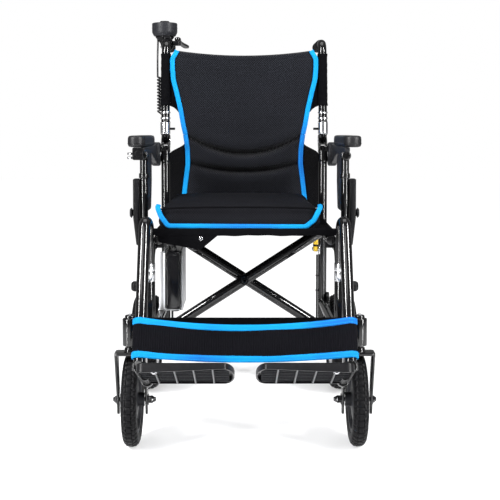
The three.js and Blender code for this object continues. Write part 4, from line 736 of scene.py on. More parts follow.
def makeSideFrame(side, way):
    s, c = sideFrame, chair
    x, r = c["frameX"], c["tube"]
    body = f"{side}_frame"
    loop = rounded([(x, c["caneY"], c["lowRailZ"]), (x, c["postY"], c["lowRailZ"]),
                    (x, c["postY"], c["highRailZ"]), (x, c["caneY"], c["highRailZ"])], c["bend"], 14)
    tubes = [tubeShape(loop, r, 40, ref=(1, 0, 0)),
             rodShape("z", (x, c["caneY"]), (c["caneFootZ"], c["caneTopZ"]), r, 40, 0.0015)]
    receiver = s["receiver"]
    y = receiver["y"]
    tubes.append(rodShape("z", (x, y), (receiver["footZ"], receiver["topZ"]), receiver["radius"], 40, 0.0012))
    for z in (receiver["footZ"] + 0.006, receiver["topZ"] - 0.018):
        tubes.append(plateShape(roundRect(x - 0.006, x + 0.006, y, c["postY"], 0.002), "z", z, z + 0.012,
                                0.001))
    makePiece(f"{side}_frame_tubes", tubes, "paintedTube", body, [f"{side}_side_frame"], way)
    makeFrameFittings(side, way, body)


def makeFrameFittings(side, way, body):
    s, c = sideFrame, chair
    x, r = c["frameX"], c["tube"]
    h, axle, plate, hinge, arm = s["housing"], s["axle"], s["plate"], s["hinge"], s["arm"]
    housing = turnedShape(rounded([
        (0, h["footZ"]), (h["radius"], h["footZ"]), (h["radius"], h["topZ"]),
        (h["cap"], h["topZ"]), (h["cap"], h["topZ"] + h["capRise"]), (0, h["topZ"] + h["capRise"])],
        [0, 0.0015, 0.002, 0.001, 0.003, 0], 5), "z", (h["x"], h["y"], 0), 56)
    webs = [plateShape(rounded([(x, c["postY"] + r), (x, s["receiver"]["y"] - r), (h["x"], h["y"] - r),
                                (h["x"], h["y"] + r)], 0.003, 3, closed=True), "z", z, z + 0.006, 0.0012)
            for z in (h["footZ"] + 0.007, h["topZ"] - 0.012)]
    axlePlate = plateShape(linkOutline((axle["y"], axle["z"]), (c["caneY"], c["lowRailZ"]), plate["half"],
                                       20),
                           "x", plate["inner"], plate["outer"] - clearance, 0.0012)
    pivot = s["pivot"]
    lugY = pivot["ys"][side]
    lugs = [plateShape(linkOutline((pivot["x"], pivot["z"]), (x, c["lowRailZ"]), pivot["lug"]), "y",
                       *sorted((lugY + k * 0.0126, lugY + k * 0.0166)), 0.0008) for k in (-1, 1)]
    ears = [plateShape(linkOutline((c["caneY"], c["caneTopZ"] - 0.005), (hinge["y"], hinge["z"]),
                                   hinge["radius"], 16), "x",
                       *sorted((x + k * 0.006, x + k * r)), 0.001) for k in (-1, 1)]
    cane = turnedShape([(r + 0.0012, 0.6), (r + 0.0016, 0.603), (r + 0.0016, 0.628), (r + 0.0012, 0.631)],
                       "z", (x, c["caneY"], 0), 40)
    makePiece(f"{side}_frame_fittings", [housing, *webs, axlePlate, *lugs, *ears, cane], "paintedTube", body,
              mirror=way)
    saddles = s["saddles"]
    rests = [blockShape((saddles["inner"], y - saddles["half"], saddles["footZ"]),
                        (x, y + saddles["half"], saddles["topZ"]), 0.0015) for y in saddles["ys"]]
    receiver = s["receiver"]
    plugs = [rodShape("z", (x, c["caneY"]), (c["caneFootZ"] - 0.003, c["caneFootZ"] + 0.004), r - 0.0006, 32,
                      0.0012),
             rodShape("z", (x, receiver["y"]), (receiver["footZ"] - 0.0025, receiver["footZ"] + 0.003),
                      0.0128, 32, 0.001)]
    makePiece(f"{side}_saddles", [*rests, *plugs], "blackPlastic", body, mirror=way)
    bolts = boltShape((h["x"], h["y"], h["topZ"] + h["capRise"] - 0.0005), "z", 0.0045, 0.0028)
    for k in (-1, 1):
        bolts += boltShape((pivot["x"], lugY + k * 0.0166, pivot["z"]), "y", 0.0058, 0.0046, k)
    bolts += [
        tubeShape([(pivot["x"], lugY + k * 0.017, pivot["z"]) for k in (-1, 1)], 0.0049, 24, ref=(1, 0, 0)),
        rodShape("x", (axle["y"], axle["z"]), (plate["inner"] + 0.004, axle["end"]), axle["radius"], 32,
                 0.001),
        rodShape("x", (hinge["y"], hinge["z"]), (x - r - 0.0008, x + r + 0.0008), 0.0062, 28, 0.0008),
        rodShape("x", (c["caneY"] - 0.002, hinge["pinZ"]), (x - r - 0.0006, x + r + 0.0006), 0.0045, 24,
                 0.0006),
        rodShape("x", (c["caneY"], arm["z"]), (x + 0.002, arm["start"] + 0.004), arm["pin"], 28, 0.0006)]
    bolts += boltShape((axle["end"] - 0.009, axle["y"], axle["z"]), "x", 0.0105, 0.0085)
    bolts += boltShape((arm["start"], c["caneY"], arm["z"]), "x", 0.0062, 0.0039)
    makePiece(f"{side}_frame_bolts", bolts, "steel", body, mirror=way)


# Wheels
wheels = {
    "caster": {"rim": 0.072, "tyreSteps": 480, "blocks": 42, "grooves": (0.34, 0.72), "depth": 0.0028,
               "hubHalf": 0.026, "bore": 0.0056, "sleeve": 0.015},
    "drive": {"rim": 0.092, "tyreSteps": 540, "blocks": 54, "grooves": (0.34, 0.66), "depth": 0.0024,
              "motor": 0.062, "half": 0.035, "bore": 0.0086},
}


def makeTyre(name, node, look, body):
    # r = bead + (tread - bead) * (1 - |w|^2.6)^(1/2.6) less the tread's grooves, on angle by width w
    low, high = boxOf(node)
    centre, half = (low + high) / 2, (high[0] - low[0]) / 2
    radius, rim = centre[2], look["rim"]
    angle = 2 * math.pi * np.arange(look["tyreSteps"]) / look["tyreSteps"]
    w = np.sin(np.linspace(-1, 1, 65) * math.pi / 2)
    w[np.abs(w) < 1e-9] = 0
    crown = (1 - np.abs(w) ** 2.6) ** (1 / 2.6)
    bead = rim + (radius - rim) * 0.30
    r = bead + (radius - bead) * crown
    across = w * half
    step = angle[:, None] * look["blocks"] / (2 * math.pi)
    first, second = look["grooves"]
    lines = sum(np.exp(-((np.abs(w) - g) / 0.035) ** 2) for g in (first, second))
    stagger = np.where(w > 0, 0.5, 0.0)[None]
    bars = np.exp(-(((step + stagger * (np.abs(w) > first)) % 1.0 - 0.5) / 0.14) ** 2)
    onTread = (np.abs(w) < 0.93)[None] * np.clip((0.93 - np.abs(w)) / 0.06, 0, 1)[None]
    groove = np.maximum(lines[None], bars) * onTread * look["depth"]
    grid = r[None] - groove
    sidewall = np.linspace(bead, rim, 5)[1:]
    pull = half * (1 - 0.14 * np.linspace(0, 1, 5)[1:])
    profile = np.concatenate([np.tile(sidewall[::-1], (len(angle), 1)), grid,
                              np.tile(sidewall, (len(angle), 1))], 1)
    place = np.concatenate([-pull[::-1], across, pull])
    points = np.stack([np.broadcast_to(place, profile.shape) + centre[0],
                       centre[1] + profile * np.cos(angle)[:, None],
                       radius + profile * np.sin(angle)[:, None]], -1)
    rows, columns = profile.shape
    shape = points.reshape(-1, 3), gridFaces(rows, columns, closeRows=True, closeColumns=True)
    makePiece(name, [shape], "tyreRubber", body, [node], 1, sharp=50)


def makeCasterWheel(side):
    look = wheels["caster"]
    body = f"{side}_caster_wheel"
    makeTyre(f"{side}_caster_tread", f"{side}_caster_tyre", look, body)
    centre = centreOf(f"{side}_caster_tyre")
    rim, half, sleeve = look["rim"] - clearance, look["hubHalf"], look["sleeve"]
    low, high = boxOf(f"{side}_caster_tyre")
    rimHalf = (high[0] - low[0]) / 2 * 0.8
    shell = turnedShape(rounded([
        (look["bore"], -half), (sleeve, -half), (sleeve, -half * 0.5), (rim * 0.82, -half * 0.25),
        (rim * 0.88, -rimHalf), (rim, -rimHalf), (rim, rimHalf), (rim * 0.88, rimHalf),
        (rim * 0.82, half * 0.25), (sleeve, half * 0.5), (sleeve, half), (look["bore"], half)],
        0.0015, 3, closed=True), "x", centre, 72, closed=True)
    spokes = []
    for x in (-rimHalf * 0.4, rimHalf * 0.4):
        bar = blockShape((x - 0.004, sleeve - 0.002, -0.003), (x + 0.004, rim * 0.9, 0.003), 0.001)
        spokes += allRound(bar, 6, "x", centre)
    bearing = [turnedShape([(look["bore"], k * half * 0.98), (sleeve * 0.72, k * half * 0.98),
                            (sleeve * 0.72, k * (half + 0.0001)), (look["bore"], k * (half + 0.0001))], "x",
                           centre, 40, closed=True) for k in (-1, 1)]
    makePiece(f"{side}_caster_wheel_hub", [shell, *spokes], "greyPlastic", body, [f"{side}_caster_hub"])
    makePiece(f"{side}_caster_bearings", bearing, "steel", body)


def makeDriveWheel(side, way):
    look = wheels["drive"]
    body = f"{side}_drive_wheel"
    makeTyre(f"{side}_drive_tread", f"{side}_drive_tyre", look, body)
    centre = centreOf(f"{side}_drive_hub")
    rim, half, motor = look["rim"] - clearance, look["half"], look["motor"]
    drum = turnedShape([(r, a * way) for r, a in rounded([
        (look["bore"], 0.002 - half), (motor * 0.5, 0.002 - half), (motor, -half * 0.85),
        (motor, -half * 0.4),
        (rim * 0.86, -half * 0.3), (rim * 0.92, -half * 0.8), (rim, -half * 0.8), (rim, half * 0.8),
        (rim * 0.92, half * 0.8), (rim * 0.86, half * 0.4), (motor, half * 0.5), (motor, half * 0.8),
        (motor * 0.5, half), (look["bore"], half)], 0.0018, 3, closed=True)], "x", centre, 96, closed=True)
    ribX = way * half * 0.42
    rib = blockShape((ribX - 0.0035, motor - 0.002, -0.004), (ribX + 0.0035, rim * 0.9, 0.004), 0.0012)
    ribs = allRound(rib, 9, "x", centre)
    makePiece(f"{side}_drive_wheel_hub", [drum, *ribs], "aluminium", body, [f"{side}_drive_hub"])
    screws = []
    for turn in np.arange(6) * math.pi / 3 + 0.3:
        place = centre + (way * half * 0.862, 0.045 * math.cos(turn), 0.045 * math.sin(turn))
        screws.append(turnedShape([(0, 0), (0.0042, 0), (0.0042, way * 0.0016), (0.0032, way * 0.0022),
                                   (0, way * 0.0022)], "x", place, 20))
    makePiece(f"{side}_motor_screws", screws, "steel", body)


# Caster forks and their axles
fork = {"x": 0.242, "stemY": -0.1775, "axleY": -0.1375, "axleZ": 0.100, "inner": 0.028, "leg": 0.005,
        "crownZ": 0.212, "crown": 0.007, "half": 0.013, "reach": 0.024, "footHalf": 0.009, "footZ": 0.068,
        "stem": 0.009, "stemTop": 0.2257}


def makeFork(side, way):
    f = fork
    body = f"{side}_fork"
    outer = f["inner"] + f["leg"]
    crown = plateShape(roundRect(f["x"] - outer, f["x"] + outer, f["stemY"] - f["half"],
                                 f["stemY"] + f["reach"],
                                 0.006), "z", f["crownZ"] - f["crown"], f["crownZ"], 0.0016)
    leg = rounded([
        (f["stemY"] - f["half"], f["crownZ"] - 0.001), (f["axleY"] - f["half"], f["axleZ"]),
        (f["axleY"] - f["footHalf"], f["footZ"]), (f["axleY"] + f["footHalf"], f["footZ"]),
        (f["axleY"] + f["half"], f["axleZ"]), (f["stemY"] + f["reach"], f["crownZ"] - 0.001)],
        [0.003, 0.03, 0.008, 0.008, 0.03, 0.003], 6, closed=True)
    legs = [plateShape(leg, "x", *sorted((f["x"] + k * f["inner"], f["x"] + k * outer)), 0.0012)
            for k in (-1, 1)]
    stem = rodShape("z", (f["x"], f["stemY"]), (f["crownZ"] - 0.002, f["stemTop"]), f["stem"], 32, 0.0008)
    collar = turnedShape(rounded([(0, f["crownZ"]), (0.0135, f["crownZ"]), (0.0115, f["stemTop"] - 0.004),
                                  (0, f["stemTop"] - 0.004)], 0.001, 3), "z", (f["x"], f["stemY"], 0), 40)
    makePiece(f"{side}_fork_arms", [crown, *legs, stem, collar], "paintedTube", body, [f"{side}_caster_fork"],
              way)
    low, high = boxOf("left_caster_axle")
    y, z = f["axleY"], f["axleZ"]
    shaft = rodShape("x", (y, z), (low[0], high[0]), 0.005, 24, 0.0022)
    nuts = boltShape((f["x"] - outer - clearance, y, z), "x", 0.0082, 0.0085, -1)
    nuts += boltShape((f["x"] + outer + clearance, y, z), "x", 0.0078, 0.0058, 1)
    domes = [turnedShape(rounded([(0, end), (0.0036, end + k * 0.0005), (0.0086, end + k * 0.009),
                                  (0.0086, end + k * 0.011), (0, end + k * 0.011)], 0.0022, 5), "x",
                         (0, y, z), 32)
             for end, k in ((low[0], 1), (high[0], -1))]
    makePiece(f"{side}_axle_nuts", [shaft, *nuts, *domes], "glossPlastic", body, [f"{side}_caster_axle"], way)


# Hangers, collars, knobs and footplates. Under the hanger: x across, y heelward, z up along the tube.
hanger = {
    "radius": 0.012, "x": 0.203, "y": -0.172, "baseZ": 0.3623, "archZ": 0.488, "footX": 0.208,
    "frontY": -0.203, "slope": math.radians(25), "footZ": 0.208, "bend": 0.018,
    "collar": (0.0124, 0.0144, 0.3623, 0.4003), "knobZ": 0.351, "knob": 0.011, "knobStart": 0.2173,
    "knobEnd": 0.2393,
}
footY = hanger["frontY"] - (hanger["archZ"] - hanger["footZ"]) * math.tan(hanger["slope"])


def underHanger(points):
    c, s = math.cos(hanger["slope"]), math.sin(hanger["slope"])
    x, y, z = points.T
    return np.stack([x, footY + y * c + z * s, hanger["footZ"] - y * s + z * c], 1)


def makeHanger(side, way):
    h = hanger
    body = f"{side}_hanger"
    path = rounded([(h["x"], h["y"], h["baseZ"]), (h["x"], h["y"], h["archZ"]),
                    (h["footX"], h["frontY"], h["archZ"]), (h["footX"], footY, h["footZ"])], h["bend"], 16)
    bar = tubeShape(path, h["radius"], 44, ref=(1, 0, 0), ease=0.0008)
    lug = plateShape(linkOutline((h["footX"], 0.0055), (0.190, -0.024), 0.011, 14), "y", -0.020, -0.008,
                     0.0014)
    pin = rodShape("y", (0.190, -0.024), (-0.009, -0.059), 0.004, 24, 0.0005)
    clip = bandShape((h["radius"] + 0.0001, h["radius"] + 0.0022), (0.0, 0.016), "z", (h["footX"], 0, 0), 40,
                     0.0008)
    makePiece(f"{side}_hanger_tube", [bar, *moved([lug, pin, clip], underHanger)], "paintedTube", body,
              [f"{side}_hanger"], way)
    inner, outer, foot, top = h["collar"]
    middle = foot + (top - foot) * 0.55
    collar = turnedShape(rounded([
        (inner, foot), (outer, foot), (outer, middle - 0.001), (outer - 0.0008, middle),
        (outer - 0.0008, middle + 0.001),
        (outer, middle + 0.002), (outer, top), (inner, top)], 0.0004, 2, closed=True), "z",
                         (h["x"], h["y"], 0), 56,
        closed=True)
    makePiece(f"{side}_collar", [collar], "steel", body, [f"{side}_hanger_collar"], way)
    start, end, radius = h["knobStart"], h["knobEnd"], h["knob"]
    knob = turnedShape(rounded([
        (0, start), (radius * 0.5, start), (radius * 0.5, end - radius * 1.05), (radius, end - radius),
        (radius, end - radius * 0.45), (radius * 0.72, end), (0, end)],
                               [0, 0.0006, 0.001, 0.002, 0.003, 0.003, 0], 5),
        "x", (0, h["y"], h["knobZ"]), 40)
    makePiece(f"{side}_release_knob", [knob], "blackPlastic", f"{side}_hanger_knob", [f"{side}_hanger_knob"],
              way)


footplate = {"inner": 0.020, "outer": 0.199, "heel": 0.021, "toe": 0.158, "tread": -0.018, "foot": -0.030,
             "skin": 0.004, "corner": 0.014, "nose": 0.020, "rim": 0.0035,
             "ribs": (0.166, 0.1306, 0.0952, 0.0598),
             "lip": (0.095, 0.185, 0.018), "longRibs": 7, "pinX": 0.190, "pinZ": -0.024}


def plateOutline():
    # two rounded corners outside, and half an oval as the inner end: middle + nose * cos t, half * sin t
    p = footplate
    y0, y1 = -p["toe"], -p["heel"]
    corners = rounded([(p["inner"] + p["nose"], y0), (p["outer"], y0), (p["outer"], y1),
                       (p["inner"] + p["nose"], y1)], p["corner"], 10)
    t = np.linspace(math.pi / 2, 3 * math.pi / 2, 33)[1:-1]
    nose = np.stack([p["inner"] + p["nose"] * (1 + np.cos(t)), (y0 + y1) / 2 + (y1 - y0) / 2 * np.sin(t)], 1)
    return np.concatenate([corners, nose])


def makeFootplate(side, way):
    p = footplate
    body = f"{side}_footplate"
    x0, x1, y0, y1 = p["inner"], p["outer"], -p["toe"], -p["heel"]
    outline = plateOutline()
    tread = plateShape(outline, "z", p["tread"] - p["skin"], p["tread"], 0.0018)
    lipInner, lipOuter, depth = p["lip"]
    across = np.clip((outline[:, 0] - lipInner) / (lipOuter - lipInner), 0, 1)
    along = np.clip((outline[:, 1] - y0) / 0.05, 0, 1)
    drop = (depth - p["tread"] + p["foot"]) * across * (1 - along * along * (3 - 2 * along))
    wall = ringWall(outline, p["rim"], p["foot"] - drop, p["tread"] - 0.002)
    front, rear, under = y0 + 0.002, y1 - 0.002, p["tread"] - 0.003
    # painted highlight: a thin pale strip along each rib's lower edge
    edges = [blockShape((x - 0.0009, front, p["foot"] - 0.0006), (x + 0.0009, rear, under), 0.0004)
             for x in p["ribs"]]
    middles = [blockShape((x - 0.0018, front, p["foot"]), (x + 0.0018, rear, under), 0.0007)
               for x in p["ribs"]]
    thin = []
    u = np.linspace(0, 1, 24)
    for share in np.linspace(0.14, 0.86, p["longRibs"]):
        bow = 0.012 * (1 - 2 * share) * np.cos((u - 0.5) * math.pi)
        line = np.stack([x0 + 0.010 + (x1 - x0 - 0.014) * u, y0 + (y1 - y0) * share + bow], 1)
        band = np.concatenate([line - (0, 0.0009), (line + (0, 0.0009))[::-1]])
        thin.append(plateShape(band, "z", p["foot"] + 0.0004, under, 0.0003, 1))
    knuckle = rodShape("y", (p["pinX"], p["pinZ"]), (y1, y1 - 0.045), 0.008, 32, 0.001)
    bars = [blockShape((x0 + 0.02, y, p["tread"] - 0.0008), (x1 - 0.02, y + 0.0032, p["tread"] + 0.0009),
                       0.0007)
            for y in np.linspace(y0 + 0.022, y1 - 0.014, 7)]
    makePiece(f"{side}_footplate_tread", moved([tread, wall, knuckle, *middles, *bars], underHanger),
              "blackPlastic", body, [f"{side}_footplate"], way)
    # painted highlight: the thin lengthwise ribs take the grey plastic, which lightens them against the black
    # tread
    makePiece(f"{side}_footplate_ribs", moved(thin, underHanger), "greyPlastic", body, mirror=way)
    makePiece(f"{side}_footplate_edge", moved(edges, underHanger), "paintedHighlightEdge", body, mirror=way)
    screw = boltShape((p["pinX"] - 0.022, y0 + 0.03, p["foot"]), "z", 0.0042, 0.003, -1)
    makePiece(f"{side}_footplate_screw", moved(screw, underHanger), "steel", body, mirror=way)


def ringWall(outline, wall, low, high):
    # a closed band: the outline and the same outline drawn in by the wall, at both heights
    normal, ease = outlineNormals(outline), 0.0005
    rings = []
    for inset, z in ((0, high), (0, low + ease), (ease, low), (wall - ease, low), (wall, low + ease),
                     (wall, high)):
        flat = outline - normal * inset
        rings.append(np.column_stack([flat, z + np.zeros(len(flat))]))
    return np.concatenate(rings), gridFaces(len(rings), len(outline), closeRows=True)


# Armrests
armrest = {"hubInner": 0.216, "hubWidth": 0.022, "hub": 0.030, "pivotZ": 0.619, "bowX": 0.229, "bow": 0.006,
           "topZ": 0.6417, "frontY": -0.034, "depth": 0.018, "padRearY": 0.233, "legY": 0.014, "leg": 0.009,
           "legFootZ": 0.4783, "ring": 0.0112, "ringZ": (0.571, 0.582), "bossZ": 0.6225, "bossReach": 0.0245}


def makeArmrest(side, way):
    a, c = armrest, chair
    body = f"{side}_arm"
    y, z, top = c["caneY"], a["pivotZ"], a["topZ"]
    outer = a["hubInner"] + a["hubWidth"]
    hub = turnedShape(rounded([
        (0.0066, a["hubInner"]), (a["hub"], a["hubInner"]), (a["hub"], outer), (a["hub"] * 0.62, outer),
        (a["hub"] * 0.58, outer - 0.003), (0.015, outer - 0.003), (0.0135, outer - 0.001),
        (0.0066, outer - 0.001)],
        [0.0004, 0.003, 0.003, 0.001, 0.001, 0.001, 0.001, 0.0004], 5, closed=True), "x", (0, y, z), 72,
                      closed=True)
    tooth = blockShape((a["hubInner"] + 0.003, a["hub"] - 0.0012, -0.0016),
                       (outer - 0.004, a["hub"] + 0.0006, 0.0016), 0.0005)
    teeth = allRound(tooth, 20, "x", (0, y, z))
    heel = a["hub"] * 0.6
    bowLine = rounded([
        (y, z + a["hub"] - 0.002), (a["padRearY"], top), (a["frontY"], top),
        (a["frontY"], top - a["depth"] * 0.6),
        (a["legY"], top - a["depth"]), ((a["legY"] + y) / 2, top - a["depth"]),
        ((a["padRearY"] + y) / 2, z - heel),
        (y, z - a["hub"] + 0.002)], [0.004, 0.05, 0.003, 0.006, 0.02, 0.08, 0.03, 0.004], 8, closed=True)
    bow = plateShape(bowLine, "x", a["bowX"] - a["bow"], a["bowX"] + a["bow"], 0.0025, 4)
    makePiece(f"{side}_arm_bow", [hub, *teeth, bow], "greyPlastic", body, [f"{side}_arm_frame"], way)
    leg = rodShape("z", (a["bowX"], a["legY"]), (a["legFootZ"], top - 0.010), a["leg"], 36, 0.0015)
    ring = bandShape((a["leg"] + 0.0001, a["ring"]), a["ringZ"], "z", (a["bowX"], a["legY"], 0), 36, 0.0008)
    reach, r = a["bossReach"], a["ring"]
    boss = turnedShape(rounded([(0, -reach), (r, -reach), (r, 0), (0, 0)], [0, 0.0035, 0.001, 0], 5), "y",
                       (a["bowX"], a["legY"], a["bossZ"]), 40)
    makePiece(f"{side}_arm_leg", [leg, ring, boss], "paintedTube", body, mirror=way)
    makeArmGuard(side, way, body)
    makeArmPad(side, way, body)
    makeArmSocket(side, way)


def makeArmGuard(side, way, body):
    low, high = boxOf("left_arm_guard")
    a = armrest
    middle, slopeEnd = (a["legY"] + chair["caneY"]) / 2, (a["padRearY"] + chair["caneY"]) / 2
    slope = (high[2] - (a["pivotZ"] - a["hub"] * 0.6 - clearance)) / (slopeEnd - middle)
    rearZ = high[2] - slope * (high[1] - middle)
    panel = plateShape(rounded([
        (low[1], high[2]), (low[1], low[2]), (high[1] - 0.022, low[2]), (high[1], (low[2] + rearZ) / 2),
        (high[1], rearZ), (middle, high[2])], [0.002, 0.010, 0.014, 0.03, 0.003, 0.02], 8, closed=True), "x",
        low[0], high[0], 0.0014)
    screws = [turnedShape(rounded([(0, 0), (0.0042, 0), (0.0042, 0.001), (0, 0.0018)], [0, 0.0004, 0.0006, 0],
                                  3), "x",
                          (high[0], y, high[2] - 0.009), 24) for y in (low[1] + 0.015, middle - 0.012)]
    makePiece(f"{side}_side_guard", [panel, *screws], "greyPlastic", body, [f"{side}_arm_guard"], way)


def makeArmPad(side, way, body):
    # a crowned cushion: z = low + t * height, with its outline drawn in by the rounding of the side
    low, high = boxOf("left_arm_pad")
    outline = roundRect(low[0], high[0], low[1], high[1], 0.0185, 16)
    centre = (low[:2] + high[:2]) / 2
    height = high[2] - low[2]
    t = np.linspace(-1, 1, 21)
    swell = (1 - np.abs(t) ** 3.2) ** (1 / 3.2)
    inset = 0.0075 * (1 - swell)
    rings = []
    half = (high[:2] - low[:2]) / 2
    for inch, z in zip(inset, low[2] + height * (t + 1) / 2):
        shrink = 1 - inch / half
        rings.append(np.column_stack([centre + (outline - centre) * shrink, np.full(len(outline), z)]))
    last = rings[-1][:, :2]
    for share in np.linspace(1, 0, 9)[1:-1]:
        crown = high[2] - 0.0004 + 0.0004 * (1 - share ** 2)
        rings.append(np.column_stack([centre + (last - centre) * share, np.full(len(outline), crown)]))
    points = np.concatenate(rings)
    shape = points, gridFaces(len(rings), len(outline)) + capFaces(len(rings), len(outline))
    pad = makePiece(f"{side}_arm_cushion", [shape], "padSkin", body, [f"{side}_arm_pad"], way, sharp=60)
    seamZ = low[2] + height * 0.30
    seam = np.column_stack([outline, np.full(len(outline), seamZ)])
    outward = np.column_stack([unit(outline - centre), np.zeros(len(outline))])
    cord = ribbonShape(seam - outward * 0.0003, outward, 0.0016, 0.0016, 10, closed=True)
    makePiece(f"{side}_arm_pad_seam", [cord], "blackPlastic", body, mirror=way, sharp=60)


armSocket = {"inner": 0.239, "outer": 0.253, "heel": 0.246, "heelZ": 0.481, "half": 0.015,
             "slots": (0.530, 0.548),
             "arms": ((0.2143, 0.421, 0.433), (0.220, 0.470, 0.478)), "knob": 0.011, "knobEnd": 0.2613}


def makeArmSocket(side, way):
    low, high = boxOf("left_arm_socket")
    body = f"{side}_frame"
    a, s = armrest, armSocket
    front, rear, inner, outer = a["legY"] - s["half"], a["legY"] + s["half"], s["inner"], s["outer"]
    upright = plateShape(rounded([(inner, low[2]), (s["heel"], low[2]), (outer, s["heelZ"]), (outer, high[2]),
                                  (inner, high[2])], [0.002, 0.003, 0.02, 0.003, 0.003], 5, closed=True), "y",
                         front, rear, 0.003, 4)
    slot = [blockShape((outer - 0.0006, a["legY"] - 0.004, z), (outer + 0.0006, a["legY"] + 0.004, z + 0.010),
                       0.0006)
            for z in s["slots"]]
    foot, ledge = (blockShape((x, front + 0.006, z0), (inner + 0.002, rear - 0.006, z1), 0.001)
                   for x, z0, z1 in s["arms"])
    makePiece(f"{side}_arm_holder", [upright, *slot, foot, ledge], "blackPlastic", body,
              [f"{side}_arm_socket"], way)
    start, end, r = outer + clearance, s["knobEnd"], s["knob"]
    knobZ = centreOf("left_arm_socket_knob")[2]
    knob = turnedShape(rounded([(0, start), (r * 0.5, start), (r, start + 0.004), (r, end - 0.003),
                                (r * 0.8, end), (0, end)], [0, 0.0005, 0.0015, 0.002, 0.002, 0], 4), "x",
                       (0, a["legY"], knobZ), 40)
    flute = blockShape((start + 0.0042, r - 0.0006, -0.0011), (end - 0.0034, r + 0.0006, 0.0011), 0.0004)
    flutes = allRound(flute, 14, "x", (0, a["legY"], knobZ))
    makePiece(f"{side}_socket_knob", [knob, *flutes], "greyPlastic", f"{side}_arm_socket_knob",
              [f"{side}_arm_socket_knob"], way)


# Push handles: upper canes, cloth sleeves, grips, release tabs
handle = {"footZ": 0.667, "z": 0.903, "topX": 0.200, "endX": 0.198, "endY": 0.4797, "bend": 0.024,
          "gripStart": 0.388, "gripLength": 0.096, "grip": 0.014, "sleeve": (0.743, 0.876),
          "hinge": (0.352, 0.654),
          "bands": ((0.6705, 0.030), (0.7085, 0.005), (0.7235, 0.004)), "pinZ": 0.7005}


def onCane(z):
    share = (z - handle["footZ"]) / (handle["z"] - handle["footZ"])
    return np.array([chair["frameX"] + (handle["topX"] - chair["frameX"]) * share, chair["caneY"], z])


def makeHandle(side, way):
    h, c = handle, chair
    body = f"{side}_back"
    r = c["tube"]
    path = rounded([(c["frameX"], c["caneY"], h["footZ"]), (h["topX"], c["caneY"], h["z"]),
                    (h["endX"], h["endY"], h["z"])], h["bend"], 18)
    bar = tubeShape(path, r, 40, ref=(1, 0, 0), ease=0.001)
    tongue = plateShape(linkOutline((c["caneY"], h["footZ"] + 0.005), h["hinge"], 0.012, 14), "x",
                        c["frameX"] - 0.0054, c["frameX"] + 0.0054, 0.001)
    makePiece(f"{side}_cane", [bar, tongue], "paintedTube", body, [f"{side}_upper_cane"], way)
    bands = []
    for z, height in h["bands"]:
        bands.append(bandShape((r + 0.0001, r + 0.0016), (0, height), "z", onCane(z), 48, 0.0007))
    x, y, z = onCane(h["pinZ"])
    bands.append(rodShape("x", (y, z), (x - r - 0.0014, x + r + 0.0014), 0.0034, 24, 0.0006))
    bands.append(rodShape("y", (x, z), (y - r - 0.0016, y), 0.0034, 24, 0.0006))
    makePiece(f"{side}_cane_bands", bands, "steel", body, mirror=way)
    makeSleeve(side, way, body)
    makeGrip(side, way, body)
    low, high = boxOf("left_release_tab")
    y = c["caneY"]
    tab = plateShape(rounded([(high[0], y - 0.004), (high[0], y + 0.004), (low[0] + 0.002, y + 0.0045),
                              (low[0], y),
                              (low[0] + 0.002, y - 0.0045)], [0.001, 0.001, 0.002, 0.003, 0.002], 5,
                             closed=True), "z",
                     low[2], high[2], 0.0012)
    makePiece(f"{side}_back_tab", [tab], "blackPlastic", f"{side}_release_tab", [f"{side}_release_tab"], way)


def makeSleeve(side, way, body):
    # r = tube + play + wrinkles that gather near both hems, on height by angle
    foot, top = handle["sleeve"]
    z = np.linspace(foot, top, 90)[:, None]
    a = (2 * math.pi * np.arange(96) / 96)[None]
    share = (z - foot) / (top - foot)
    gather = 0.35 + 0.65 * np.exp(-share / 0.14) + 0.4 * np.exp(-(1 - share) / 0.10)
    fold = 0.00035 * gather * (np.sin(3 * a + 40 * share + way) + 0.7 * np.sin(5 * a - 23 * share)) \
        + 0.0004 * gather * np.sin(2 * math.pi * share * 9 + 1.5 * np.sin(a + way))
    hem = 0.0006 * (np.exp(-((share - 0.03) / 0.02) ** 2) + np.exp(-((share - 0.97) / 0.02) ** 2))
    seam = 0.0006 * np.exp(-((a - math.pi * 0.6) / 0.05) ** 2)
    outer = chair["tube"] + 0.0016 + fold + hem + seam
    inner = np.full_like(outer, chair["tube"] + 0.0002)
    axisX = onCane(foot)[0] + (onCane(top)[0] - onCane(foot)[0]) * share
    rings = [np.stack([axisX + radius * np.cos(a), chair["caneY"] + radius * np.sin(a), z + 0 * a], -1)
             for radius in (outer, inner)]
    points = np.concatenate([rings[0], rings[1][::-1]])
    shape = points.reshape(-1, 3), gridFaces(len(points), 96, closeRows=True)
    sleeve = makePiece(f"{side}_sleeve", [shape], "canvas", body, [f"{side}_cane_sleeve"], way, sharp=70)


